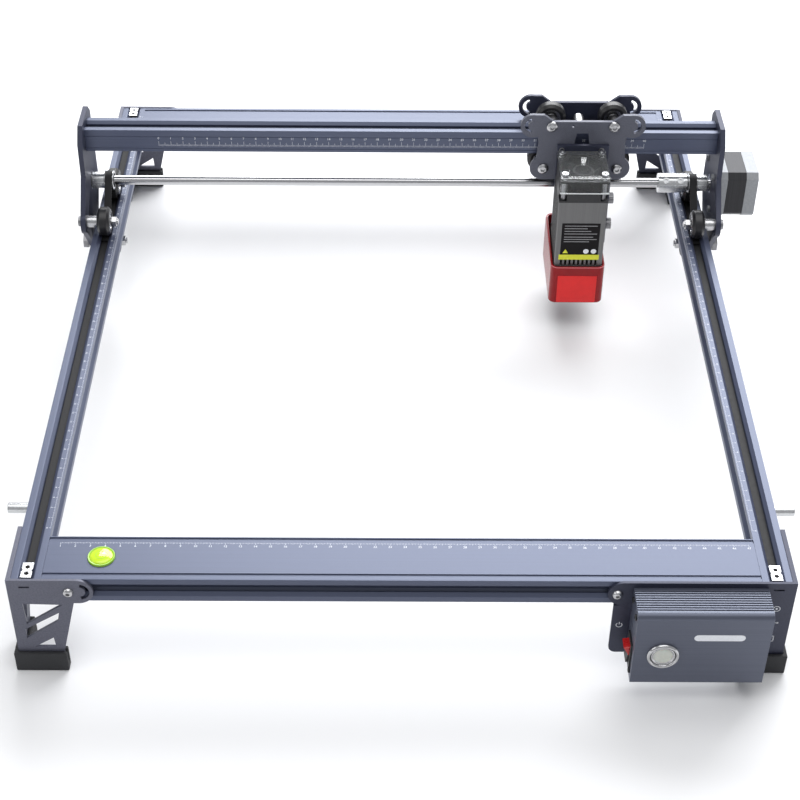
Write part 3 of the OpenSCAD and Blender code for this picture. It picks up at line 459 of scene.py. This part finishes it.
for material, widths in (
        (rail_finish, {"left_rail": 0.3, "right_rail": 0.3}),
        (beam_finish, {"front_beam": 0.3, "rear_beam": 0.3, "x_beam": 0.3}),
        # The left brackets take the lighter copy of the slate: painted light
        (slate_painted_lit, {"front_left_bracket": 0.35, "rear_left_bracket": 0.35}),
        (plate_finish, {"front_right_bracket": 0.35, "rear_right_bracket": 0.35, "left_gantry_plate": 0.45,
                        "right_gantry_plate": 0.45, "carriage_rear_plate": 0.4, "laser_bracket": 0.35}),
        (carriage_finish, {"carriage_front_plate": 0.4}),
        (shell_finish, {"box_shell": 0.2, "box_ends": 0.2}),
        (rubber, {"feet": 1.2}),
        (steel, {"frame_bolts": 0.15, "shaft_bearings": 0.25}),
        (dull_steel, {"upper_thumb_screw": 0.25, "lower_thumb_screw": 0.25}),
        (bright, {"belt_clamps": 0.2, "stop_pins": 0.5, "shaft_coupler": 0.15, "lens_barrel": 0.4}),
        (polished, {"sync_shaft": 0.4, "motor_shaft": 0.3}),
        (plastic_and_rocker_shade, {"switch_housing": 0.3}),
        (gunmetal, {"diode_block": 0.4}),
        (board_green, {"control_board": 0.15}),
        (red_plastic, {"power_rocker": 0.5})):
    for node, width in widths.items():
        refined(node, material, width)

rocker = bpy.data.objects["power_rocker_finished"]
rocker_mid = box_of("power_rocker")[2]
# The rocker's lower half is painted black: painted shade where the switch housing shades the red lever
painted(rocker, plastic_and_rocker_shade, lambda c, n: c.z < rocker_mid.z - 0.5 * MM)

# ---- Wheels ----

tyre = turned("tyre", [(8, -5), (9.8, -5), (10.2, -4.85), (12.05, -3.0), (12.2, -2.6), (12.2, 2.6),
                       (12.05, 3.0), (10.2, 4.85), (9.8, 5), (8, 5), (8, -5)], steps=72)
race = turned("race", [(2.55, -5), (3.9, -5), (4.1, -4.8), (4.1, -4.15), (6.4, -4.15), (6.6, -4.6),
                       (7.8, -4.6), (8, -4.4), (8, 4.4), (7.8, 4.6), (6.6, 4.6), (6.4, 4.15),
                       (4.1, 4.15), (4.1, 4.8), (3.9, 5), (2.55, 5), (2.55, -5)], steps=48)
for node in WHEELS:
    low, high, mid, size = box_of(node)
    axis = "x" if size.x < size.y else "y"
    finished(stamp(tyre, f"{node}_tyre", mid, axis), BODY[node], wheel_finish, "wheel", node, angle=20)
    finished(stamp(race, f"{node}_bearing", mid, axis), BODY[node], steel, "steel", angle=25)
drop(tyre, race)

# ---- Axles and screws with their sockets ----

wheel_radius = box_of("left_front_wheel")[3].y / 2
axle_low, axle_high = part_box("gantry_axles")
plate_low, plate_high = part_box("left_gantry_plate")[0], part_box("right_gantry_plate")[1]


def wheel_spot(node, **place):
    p = box_of(node)[2].copy()
    for k, v in place.items():
        setattr(p, k, v)
    return p


axles = refined("gantry_axles", dull_steel, 0.2, (
    hex_cutter([wheel_spot("left_front_wheel", x=plate_low.x - 3 * MM)], "-x", 2.1, 1.8),
    hex_cutter([wheel_spot("right_front_wheel", x=plate_high.x + 3 * MM)], "x", 2.1, 1.8),
    hex_cutter([wheel_spot("left_lower_wheel", x=axle_low.x)], "-x", 2.6, 2.4),
    hex_cutter([wheel_spot("right_lower_wheel", x=axle_high.x)], "x", 2.6, 2.4)))
painted(axles, steel, lambda c, n: plate_low.x < c.x < plate_high.x)
face_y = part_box("carriage_axles")[0].y
X_WHEELS = ["upper_left_wheel", "upper_right_wheel", "bottom_left_wheel", "bottom_right_wheel"]
carriage_bolts = refined("carriage_axles", steel, 0.15, (
    hex_cutter([wheel_spot(n, y=face_y) for n in X_WHEELS], "-y", 2.0, 1.7),))
_, carriage_high, carriage_mid, _ = box_of("carriage_front_plate")
painted(carriage_bolts, dark_screw, lambda c, n: carriage_high.y < c.y < beam_mid.y - 5 * MM
        and abs(c.x - carriage_mid.x) > 12 * MM)
low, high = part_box("cover_screws")
refined("cover_screws", bright, 0.5, (hex_cutter(
    [Vector((x, y, high.z)) for x in (low.x + 3 * MM, high.x - 3 * MM)
     for y in (low.y + 3 * MM, high.y - 3 * MM)], "z", 1.2, 0.9),))

# A pan head with a socket, used wherever a small screw holds a cover
pan = turned("pan", [(0, 0), (2.2, 0), (2.2, 0.5), (2.0, 0.9), (1.5, 1.15), (0, 1.2)], steps=32)
carved(pan, hex_cutter([Vector((0, 0, 1.2 * MM))], "z", 1.0, 0.8))
for side, x, axis in (("left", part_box("box_ends")[0].x, "-x"), ("right", shell_high.x, "x")):
    heads = [stamp(pan, f"{side}_end_screw_{i}", (x, y, z), axis) for i, (y, z) in enumerate(
        (y, z) for y in (shell_low.y + 5.5 * MM, shell_high.y - 5 * MM)
        for z in (shell_low.z + 6 * MM, shell_high.z - 6.5 * MM))]
    finished(join(f"box_{side}_end_screws", heads), "frame", dark_screw, "black", angle=25)
flush = turned("flush", [(0, -1), (2.3, -1), (2.3, 0.08), (2.15, 0.14), (0, 0.14)], steps=32)
carved(flush, hex_cutter([Vector((0, 0, 0.14 * MM))], "z", 1.1, 0.8))
bracket_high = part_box("laser_bracket")[1]
bracket_spots = [Vector((sink_mid.x + side * BRACKET_HOLE * MM, bracket_high.y - 5.5 * MM,
                         bracket_high.z - 4.4 * MM)) for side in (-1, 1)]
bracket_screws = [stamp(flush, f"flush_{i}", spot, "-y") for i, spot in enumerate(bracket_spots)]
finished(join("bracket_screws", bracket_screws), "carriage", dull_steel, "steel")
drop(flush)

# Black screws in the belt clamps' holes
clamp_screw = turned("clamp_screw", [(0, -0.6), (1.55, -0.6), (1.55, -0.1), (1.35, 0), (0, 0)], steps=24)
spots = [Vector((x, end + inwards * hole * MM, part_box("belt_clamps")[1].z))
         for x in (rail_mid.x, right_rail_mid.x)
         for end, inwards in ((rail_low.y, 1), (rail_high.y, -1)) for hole in CLAMP_HOLES]
finished(join("clamp_screws", [stamp(clamp_screw, f"clamp_screw_{i}", p) for i, p in enumerate(spots)]),
         "frame", label_black, "black", angle=25)
drop(clamp_screw)

# ---- Motors ----

def motor(node, axis, cap_front, cap_rear, front, rear):
    """Cast caps at both ends of a blackened stack, with the screws that hold them together."""
    k = "xyz".index(axis)
    o = refined(node, cap_finish, 0.35)
    painted(o, stack_finish, lambda c, n: front + cap_front < c[k] < rear - cap_rear and abs(n[k]) < 0.5)
    low, high, mid, _ = box_of(node)
    centre = box_of("sync_shaft" if axis == "x" else "x_pulley")[2].copy()
    screws = []
    for i, (a, b) in enumerate((a, b) for a in (-MOTOR_HOLE, MOTOR_HOLE) for b in (-MOTOR_HOLE, MOTOR_HOLE)):
        spot = centre.copy()
        spot[k] = rear - 1.25 * MM
        spot[1 if k == 0 else 0] += a * MM
        spot.z += b * MM
        screws.append(stamp(pan, f"{node}_screw_{i}", spot, axis))
    finished(join(f"{node}_cap_screws", screws), BODY[node], dark_screw, "black", angle=25)
    return centre


motor_low, motor_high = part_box("y_motor")
centre = motor("y_motor", "x", 6.5 * MM, 10 * MM, motor_high.x - 32 * MM, motor_high.x)
x_motor_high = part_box("x_motor")[1]
motor("x_motor", "y", 7 * MM, 6 * MM, x_motor_high.y - 24 * MM, x_motor_high.y)

# The motor's plug, a block with a recess, on the underside of its stack
plug_z = motor_low.z
plug = bar("y_motor_plug", (motor_high.x - 19 * MM, centre.y - 6 * MM, plug_z),
           (motor_high.x - 13 * MM, centre.y + 6 * MM, plug_z + 2 * MM))
edit(plug, lambda f: f.normal.z < -0.9)
bpy.ops.mesh.inset(thickness=0.7 * MM)
bpy.ops.mesh.extrude_region_move(TRANSFORM_OT_translate={"value": (0, 0, 1.8 * MM)})
leave()
bevelled(plug, 0.15)
finished(plug, "gantry", plastic_and_rocker_shade, "black")

# ---- Toothed belts ----

PITCH = 2.0


def toothed_belt(name, links, wide):
    """A straight belt along X from x = 0, teeth downwards, its middle line at z = 0."""
    o = bar(name, (0, -wide / 2, -0.05 * MM), (PITCH * MM, wide / 2, 0.65 * MM))
    for x in (0.45, 1.55):
        edit(o)
        bpy.ops.mesh.bisect(plane_co=(x * MM, 0, 0), plane_no=(1, 0, 0))
        leave()
    edit(o, lambda f: f.normal.z < -0.9 and 0.5 * MM < f.center.x < 1.5 * MM)
    bpy.ops.mesh.extrude_region_move(TRANSFORM_OT_translate={"value": (0, 0, -0.6 * MM)})
    bpy.ops.transform.resize(value=(0.7, 1, 1))
    leave()
    edit(o, lambda f: abs(f.normal.x) > 0.99 and (f.center.x < 1e-6 or f.center.x > 1.999 * MM))
    bpy.ops.mesh.delete(type="FACE")
    leave()
    row = o.modifiers.new("links", "ARRAY")
    row.count = links
    row.use_relative_offset, row.use_constant_offset = False, True
    row.constant_offset_displace = (PITCH * MM, 0, 0)
    row.use_merge_vertices, row.merge_threshold = True, 0.01 * MM
    bpy.ops.object.modifier_apply(modifier=row.name)
    edit(o, lambda e: all(v.x < 1e-6 for v in e) or all(v.x > links * PITCH * MM - 1e-6 for v in e), "EDGE")
    bpy.ops.mesh.fill()
    leave()
    return o


def belt_path(front, top, back, out, over):
    """Points of a belt that runs under a wheel, over a pulley and under a wheel, in their plane."""
    up, fall = top - front, back - top
    climb = math.atan2(up.y, up.x) + math.asin((out + over) / up.length)
    sink = math.atan2(fall.y, fall.x) - math.asin((out + over) / fall.length)
    quarter = math.pi / 2

    def arc(c, r, a, b):
        return [c + r * Vector((math.cos(a + (b - a) * i / 24), math.sin(a + (b - a) * i / 24)))
                for i in range(25)]

    return ([front + Vector((-10 * MM, -out))] + arc(front, out, -quarter, climb - quarter)
            + arc(top, over, climb + quarter, sink + quarter) + arc(back, out, sink - quarter, -quarter)
            + [back + Vector((10 * MM, -out))])


def wrapped(o, path, lift, slide):
    """Lays a straight belt along a path: lift turns (along, height) of the plane into a place."""
    steps = [(b - a).length for a, b in zip(path, path[1:])]
    total, length = sum(steps), max(v.co.x for v in o.data.vertices)
    for v in o.data.vertices:
        s, i = v.co.x / length * total, 0
        while i < len(steps) - 1 and s > steps[i]:
            s -= steps[i]
            i += 1
        way = (path[i + 1] - path[i]).normalized()
        spot = path[i] + way * s + Vector((-way.y, way.x)) * v.co.z
        v.co = lift(spot, v.co.y + slide)
    edit(o)
    bpy.ops.mesh.normals_make_consistent(inside=False)
    leave()
    return o


strand_low, strand_high, _, _ = box_of("y_belts")
belt_w = 5.8 * MM
for side, x in (("left", rail_mid.x), ("right", right_rail_mid.x)):
    strand = toothed_belt(f"{side}_rail_belt", int((strand_high.y - strand_low.y) / (PITCH * MM)), belt_w)
    put(strand, (x, strand_low.y, strand_high.z - 0.65 * MM), "z", math.pi / 2)
    finished(strand, "frame", belt_finish, "belt", *(["y_belts"] if side == "left" else []), angle=25)
belt_low, belt_high, _, _ = box_of("gantry_belts")
beam_belt = toothed_belt("beam_belt", int((belt_high.x - belt_low.x - 2 * MM) / (PITCH * MM)), belt_w)
put(beam_belt, (beam_mid.x, beam_mid.y, beam_low.z + 5.25 * MM), "z")
put(beam_belt, (belt_low.x + 1 * MM - beam_mid.x, 0, 0), "z")
finished(beam_belt, "gantry", belt_finish, "belt", "gantry_belts", angle=25)

reach_wheel, reach_pulley = wheel_radius + 0.95 * MM, 7.05 * MM
for side in ("left", "right"):
    front, back = box_of(f"{side}_front_wheel")[2], box_of(f"{side}_rear_wheel")[2]
    path = belt_path(front.yz, shaft_mid.yz, back.yz, reach_wheel, reach_pulley)
    loop = toothed_belt(f"{side}_drive_belt", 52, belt_w)
    wrapped(loop, path, lambda p, w: Vector((w, p.x, p.y)), front.x)
    finished(loop, "gantry", belt_finish, "belt", angle=25)
left_x, right_x = box_of("bottom_left_wheel")[2], box_of("bottom_right_wheel")[2]
low, high, _, _ = box_of("x_pulley")
pulley_spot = Vector(((low.x + high.x) / 2, (low.z + high.z) / 2))
path = belt_path(Vector((left_x.x, -left_x.z)), Vector((pulley_spot.x, -pulley_spot.y)),
                 Vector((right_x.x, -right_x.z)), reach_wheel, reach_pulley)
carriage_belt = toothed_belt("carriage_belt", 50, belt_w)
wrapped(carriage_belt, path, lambda p, w: Vector((p.x, w, -p.y)), left_x.y)
finished(carriage_belt, "carriage", belt_finish, "belt", "x_belt_loop", angle=25)

# ---- Toothed pulleys ----


def pulley(name, bore, hub_from, hub_to):
    """Twenty teeth between two flanges, and a hub from hub_from to hub_to, along Z, in millimetres."""
    core = turned("core", [(bore, -3.9), (6.35, -3.9), (6.35, 3.9), (bore, 3.9), (bore, -3.9)], steps=80)
    edit(core, lambda v: v.co.xy.length > 6.3 * MM
         and int(round(math.degrees(math.atan2(v.co.y, v.co.x)) / 4.5)) % 4 in (0, 1), "VERT")
    bpy.ops.transform.resize(value=(0.9, 0.9, 1), center_override=(0, 0, 0))
    leave()
    parts = [core]
    for z in (-3.9, 3.0):
        parts.append(turned("flange", [(bore, z), (7.7, z), (8, z + 0.25), (8, z + 0.65), (7.7, z + 0.9),
                                       (bore, z + 0.9), (bore, z)]))
    hub = turned("hub", [(bore, hub_from), (6.7, hub_from), (7, hub_from + 0.3), (7, hub_to - 0.3),
                         (6.7, hub_to), (bore, hub_to), (bore, hub_from)])
    mid = (hub_from + hub_to) / 2
    screw_hole = hex_cutter([Vector((7 * MM, 0, mid * MM))], "x", 1.2, 1.4)
    parts.append(carved(hub, screw_hole))
    return join(name, parts)


hub_out = (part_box("drive_pulleys")[0].x - rail_mid.x) / MM
left_pulley = put(pulley("left_drive_pulley", 4, 3.9, -hub_out),
                  (rail_mid.x, shaft_mid.y, shaft_mid.z), "-x", 0.6)
finished(left_pulley, "drive_shaft", bright, "steel", "drive_pulleys", angle=25)
hub_out = (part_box("drive_pulleys")[1].x - right_rail_mid.x) / MM
right_pulley = put(pulley("right_drive_pulley", 2.5, 3.9, hub_out),
                   (right_rail_mid.x, shaft_mid.y, shaft_mid.z), "x", 0.6)
finished(right_pulley, "drive_shaft", bright, "steel", angle=25)
pulley_low, pulley_high, pulley_mid, _ = box_of("x_pulley")
plate_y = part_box("carriage_rear_plate")[0].y
x_drive = put(pulley("x_drive_pulley", 2.5, 3.9, (plate_y - beam_mid.y) / MM - 1),
              (pulley_mid.x, beam_mid.y, pulley_mid.z), "y", 0.3)
finished(x_drive, "x_pulley", bright, "steel", "x_pulley", angle=25)
pin = turned("x_drive_shaft", [(0, 0), (2.2, 0), (2.5, 0.4), (2.5, (pulley_high.y - pulley_low.y) / MM),
                               (0, (pulley_high.y - pulley_low.y) / MM)],
             (pulley_mid.x, pulley_low.y, pulley_mid.z), "y")
finished(pin, "x_pulley", polished, "polished")

# ---- Laser head ----

hub = turned("hub", [(1.55, -7.5), (8.2, -7.5), (9, -6.9), (9, 6.6), (8.4, 7.4), (1.55, 7.5), (1.55, -7.5)])
blades = []
blade = bar("blade", (8.4 * MM, -0.5 * MM, -6.6 * MM), (17.5 * MM, 0.5 * MM, 6.6 * MM))
edit(blade)
bpy.ops.mesh.subdivide(number_cuts=5)
leave()
solo(blade)
twist = blade.modifiers.new("twist", "SIMPLE_DEFORM")
twist.deform_method, twist.deform_axis, twist.angle = "TWIST", "X", math.radians(-22)
bpy.ops.object.modifier_apply(modifier=twist.name)
blade.data.transform(Matrix.Rotation(math.radians(44), 4, "X"))
bevelled(blade, 0.2)
for i in range(7):
    blades.append(stamp(blade, f"blade_{i}", (0, 0, 0), "z", math.tau * i / 7))
drop(blade)
rotor = put(join("fan_blades", [hub] + blades), head_mid, "z", 0.4)
finished(rotor, "fan_rotor", plastic_and_rocker_shade, "black", "fan_rotor")
sticker = turned("fan_hub_sticker", [(0, 0), (6.6, 0), (6.6, 0.12), (0, 0.12)],
                 (head_mid.x, head_mid.y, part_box("fan_rotor")[1].z), "z")
finished(sticker, "fan_rotor", label_black, "black", angle=30)

hood_low, hood_high, hood_mid, hood_size = box_of("red_hood")
hood = refined("red_hood", hood_dark_red, 0.5)
# The hood's top rim and upper front bevel are painted pink: painted highlight
painted(hood, rim_painted_highlight, lambda c, n: n.z > 0.3 and c.z > hood_high.z - 1.2 * MM
        or 0.3 < n.z < 0.95 and n.y < -0.3)
sink = refined("heat_sink", gunmetal, 0.25, (), (1.5, lambda e: all(v.y < sink_low.y + 0.05 * MM for v in e)
        and abs(e[0].x - e[1].x) < 1e-6 and abs(e[0].x - sink_mid.x) > sink_size.x / 2 - 0.1 * MM))
# Everything behind the heat sink's front face is painted near black: painted shade on its sides and between
# its fins
painted(sink, fins_painted_shade, lambda c, n: c.y > sink_low.y + 1.6 * MM)

# The fan's frame is open at its corners, round bright standoffs
fan_mid = box_of("fan_frame")[2]
corners = [fan_mid + Vector((x, y, 0)) * MM for x in (-FAN_CUT, FAN_CUT) for y in (-FAN_CUT, FAN_CUT)]
slot_cut = turned("slot_cut", [(0, -8.5), (5, -8.5), (5, 8.5), (0, 8.5)], steps=32)
cuts = join("cuts", [stamp(slot_cut, f"cut_{i}", c) for i, c in enumerate(corners)])
drop(slot_cut)
refined("fan_frame", plastic_and_rocker_shade, 0.3, (cuts,))
standoff = turned("standoff", [(1.6, -8.5), (2.3, -8.5), (2.3, 8.5), (1.6, 8.5), (1.6, -8.5)], steps=32)
posts = [stamp(standoff, f"post_{i}", fan_mid + (c - fan_mid) * FAN_HOLE / FAN_CUT)
         for i, c in enumerate(corners)]
drop(standoff)
finished(join("fan_standoffs", posts), "laser_head", dull_steel, "steel")
cover = refined("clear_cover", glass, 0.3)
skirt_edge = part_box("clear_cover")[0].z + 0.9 * MM
edit(cover)
bpy.ops.mesh.bisect(plane_co=(0, 0, skirt_edge), plane_no=(0, 0, 1))
leave()
# The skirt's lowest 0.9 mm is painted opaque white: painted highlight for its bright edge line
painted(cover, edge_painted_highlight, lambda c, n: c.z < skirt_edge)

panel_w, panel_h = hood_size.x / MM - 12.4, 27.0
panel = cut_sheet("hood_front_panel", [(x, z) for x, z in
                  [(-panel_w / 2, 0.9), (-panel_w / 2 + 1, 0), (panel_w / 2 - 1, 0), (panel_w / 2, 0.9),
                   (panel_w / 2, panel_h), (-panel_w / 2, panel_h)]], 0.35)
panel.data.transform(Matrix.Rotation(math.pi / 2, 4, "X"))
put(panel, (hood_mid.x, hood_low.y + 0.05 * MM, hood_low.z + 0.7 * MM))
bevelled(panel, 0.12)
finished(panel, "laser_head", hood_red, "hood")

front_y = sink_low.y


def on_front(name, outline, y, x, z, thick, material, slot, body="laser_head"):
    """A flat shape facing the front, at a height and side place."""
    o = cut_sheet(name, outline, thick)
    o.data.transform(Matrix.Rotation(math.pi / 2, 4, "X"))
    put(o, (x, y, z))
    return finished(o, body, material, slot)


def rect(w, h):
    return [(-w / 2, -h / 2), (w / 2, -h / 2), (w / 2, h / 2), (-w / 2, h / 2)]


label_mid = sink_mid.x
on_front("black_label", rect(31.5, 31), front_y, label_mid, sink_low.z + 26.5 * MM, 0.12,
         label_black, "black")
on_front("yellow_label_strip", rect(33.5, 5), front_y, label_mid, sink_low.z + 8.5 * MM, 0.14,
         label_yellow, "level")
lines = []
label_rows = ((27, 39.5), (19, 36.9), (22, 34.3), (27, 31.7), (24, 28.6), (27, 26.3), (21, 24))
for i, (w, z) in enumerate(label_rows):
    row = cut_sheet(f"row_{i}", rect(w, 0.7), 0.05)
    row.data.transform(Matrix.Rotation(math.pi / 2, 4, "X"))
    lines.append(put(row, (label_mid - (27 - w) / 2 * MM, front_y - 0.11 * MM, sink_low.z + z * MM)))
finished(join("label_rows", lines), "laser_head", faint_ink, "white")
for i, x in enumerate((5.6, 11.9)):
    on_front(f"label_disc_{i + 1}", circle_points(2.3), front_y - 0.1 * MM, label_mid + x * MM,
             sink_low.z + 14.4 * MM, 0.06, ink, "white")
on_front("label_triangle", [(-2.3, -1.7), (2.3, -1.7), (0, 2.3)], front_y - 0.1 * MM, label_mid - 11.5 * MM,
         sink_low.z + 14.2 * MM, 0.06, label_yellow, "level")
barrel_low, _, barrel_mid, _ = box_of("lens_barrel")
lens = turned("focus_lens", [(0, 0), (2.2, 0.35), (3.5, 0.9), (3.5, 2.2), (0, 2.2)],
              (barrel_mid.x, barrel_mid.y, barrel_low.z + 1.5 * MM), "z")
finished(lens, "laser_head", lens_glass, "clear", angle=50)

# ---- Control box ----

bezel = turned("button_ring", [(8.35, -12.9), (9, -12.9), (9, 0), (11, 0), (11, 0.6), (10.75, 1.5),
                               (10.1, 2.3),
                               (9.6, 2.5), (9.0, 2.3), (8.5, 1.5), (8.35, 0.8), (8.35, -12.9)],
               (button_mid.x, shell_low.y, button_mid.z), "-y", 96)
finished(bezel, "frame", polished, "polished", "button_bezel", angle=50)
press = turned("button_cap", [(0, 0), (8.15, 0), (8.15, 9.1), (7.9, 9.5), (7.4, 9.6), (7.1, 9.45), (6.9, 9.1),
                              (6.5, 9.0), (6.3, 9.15), (4.5, 9.25), (0, 9.35)],
               (button_mid.x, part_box("start_button")[1].y, button_mid.z), "-y", 72)
finished(press, "start_button", button_lens, "button", "start_button", angle=50)
painted(press, polished, lambda c, n: (c - Vector((button_mid.x, c.y, button_mid.z))).length > 6.6 * MM)

port_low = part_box("box_ports")[0]
ports = refined("box_ports", plastic_and_rocker_shade, 0.12)
painted(ports, steel, lambda c, n: c.z < port_low.z + 30 * MM)
tongue = bar("usb_tongue", (shell_high.x - 7.5 * MM, port_low.y + 7.4 * MM, shell_low.z + 27.1 * MM),
             (shell_high.x - 1.2 * MM, port_low.y + 8.3 * MM, shell_low.z + 32.9 * MM))
bevelled(tongue, 0.15)
finished(tongue, "frame", ink, "white")

plate_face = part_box("front_right_bracket")[0].y


def drawn(name, bands, x, y, z, material=None, body="frame", slot="white"):
    """An icon made of several flat outlines, facing the front."""
    shapes = []
    for i, outline in enumerate(bands):
        o = cut_sheet(f"{name}_{i}", outline, 0.06)
        o.data.transform(Matrix.Rotation(math.pi / 2, 4, "X"))
        shapes.append(put(o, (x, y, z)))
    return finished(join(name, shapes), body, material or ink, slot)


def shifted(outline, dx, dy):
    return [(x + dx, y + dy) for x, y in outline]


bracket_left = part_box("front_right_bracket")[0].x
drawn("power_icon", [arc_band(1.75, 2.25, math.radians(125), math.radians(290)),
                     shifted(rect(0.5, 2.2), 0, 1.7)],
      bracket_left + 9.7 * MM, plate_face, shell_low.z + 27.6 * MM)
strip_x = (shell_high.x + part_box("front_right_bracket")[1].x) / 2
drawn("supply_icon", [arc_band(2.1, 2.55, 0, math.tau - 0.01), circle_points(0.8)],
      strip_x - 1.5 * MM, plate_face, shell_low.z + 43.6 * MM)
drawn("data_icon", [rect(5, 0.5), shifted(circle_points(0.8), -2.3, 0), shifted(rect(1.3, 1.3), 2.4, 0)],
      strip_x - 1.5 * MM, plate_face, shell_low.z + 30.2 * MM)
drawn("card_icon", [shifted(rect(0.5, 5.4), -1.9, 0), shifted(rect(0.5, 5.4), 1.9, 0),
                    shifted(rect(3.8, 0.5), 0, -2.45), shifted(rect(3.8, 0.5), 0, 2.45)],
      strip_x - 1.5 * MM, plate_face, shell_low.z + 14.6 * MM)
drawn("blank_name_plate", [pill_points(33.5, 5.6)], button_mid.x + 35.5 * MM, shell_low.y,
      button_mid.z + 16.6 * MM)

# ---- Bubble level ----

level_low, _, level_mid, _ = box_of("bubble_level")
cup = turned("level_cup", [(7.9, 0), (9.1, 0), (9.1, 2.3), (8.8, 2.75), (8.2, 2.8), (7.9, 2.5), (7.9, 0)],
             (level_mid.x, level_mid.y, level_low.z), "z", 72)
finished(cup, "frame", level_rim, "level", "bubble_level", angle=50)
vial = turned("level_vial", [(0, 0.1), (7.88, 0.1), (7.88, 2.4), (7.3, 2.95), (6, 3.35), (4, 3.65),
                             (2, 3.8), (0, 3.85)],
              (level_mid.x, level_mid.y, level_low.z), "z", 72)
finished(vial, "frame", level_green, "level", angle=60)
bubble = turned("level_bubble", [(0, 3.6), (1.9, 3.6), (1.7, 3.85), (1.1, 3.97), (0, 4.0)],
                (level_mid.x + 1.2 * MM, level_mid.y + 1.0 * MM, level_low.z), "z", 40)
finished(bubble, "frame", bubble_finish, "level", angle=60)
ring = turned("level_target", [(3.4, 3.6), (3.7, 3.6), (3.7, 3.74), (3.4, 3.78), (3.4, 3.6)],
              (level_mid.x, level_mid.y, level_low.z), "z", 48)
finished(ring, "frame", level_rim, "level", angle=60)

# ---- Rulers ----

numbers = {}


def number(n):
    """A numeral one unit high, drawn once."""
    if n not in numbers:
        bpy.ops.object.select_all(action="DESELECT")
        bpy.ops.object.text_add(location=(0, 0, 0))
        t = bpy.context.object
        t.data.body = str(n)
        t.data.align_x, t.data.align_y = "CENTER", "CENTER"
        t.data.resolution_u = 2
        t.data.extrude = 0.01
        solo(t)
        bpy.ops.object.convert(target="MESH")
        numbers[n] = named(f"numeral_{n}")
    return numbers[n]


def ruler(name, start, along, up, first, last, heights, figure, figure_up, body):
    """Graduations every millimetre from one centimetre to another, with a figure at each centimetre."""
    parts = []
    for kind, (step, height) in enumerate(zip((1, 5, 10), heights)):
        tick = bar(f"tick_{kind}", (-0.09 * MM, 0, -0.03 * MM), (0.09 * MM, height * MM, 0.04 * MM))
        row = tick.modifiers.new("row", "ARRAY")
        row.count = (last - first) * 10 // step + 1
        row.use_relative_offset, row.use_constant_offset = False, True
        row.constant_offset_displace = (step * MM, 0, 0)
        bpy.ops.object.modifier_apply(modifier=row.name)
        tick.data.transform(Matrix.Translation((first * 10 * MM, 0, kind * 0.002 * MM)))
        parts.append(tick)
    for n in range(first, last + 1):
        o = number(n).copy()
        o.data = o.data.copy()
        bpy.context.scene.collection.objects.link(o)
        o.data.transform(Matrix.Translation((n * 10 * MM, figure_up * MM, 0)) @ Matrix.Diagonal(
            (figure * MM, figure * MM, 3 * MM, 1)))
        parts.append(o)
    o = join(name, parts)
    normal = along.cross(up)
    turn = Matrix([[along[i], up[i], normal[i]] for i in range(3)]).to_4x4()
    o.data.transform(Matrix.Translation(start) @ turn)
    o.matrix_world = Matrix.Identity(4)
    return finished(o, body, ink, "white")


ruler("front_ruler", Vector((front_low.x - 1.8 * MM, front_high.y - 5.6 * MM, front_high.z)), X, Y, 1, 47,
      (-0.9, -1.4, -1.9), 2.6, -3.4, "frame")
ruler("left_rail_ruler", Vector((rail_high.x - 0.5 * MM, front_high.y + 8 * MM, rail_top)), Y, -X, 0, 54,
      (0.7, 1.0, 1.4), 1.9, 2.7, "frame")
ruler("right_rail_ruler", Vector((right_rail_low.x + 0.5 * MM, front_high.y + 8 * MM, rail_top)), Y, -X,
      0, 54,
      (-0.7, -1.0, -1.4), 1.9, -2.7, "frame")
ruler("beam_ruler", Vector((beam_mid.x - 200 * MM, beam_low.y, beam_low.z + 5.2 * MM)), X, Z, 0, 40,
      (1.6, 3.2, 4.6), 2.8, 7.2, "gantry")
drop(pan, *numbers.values())
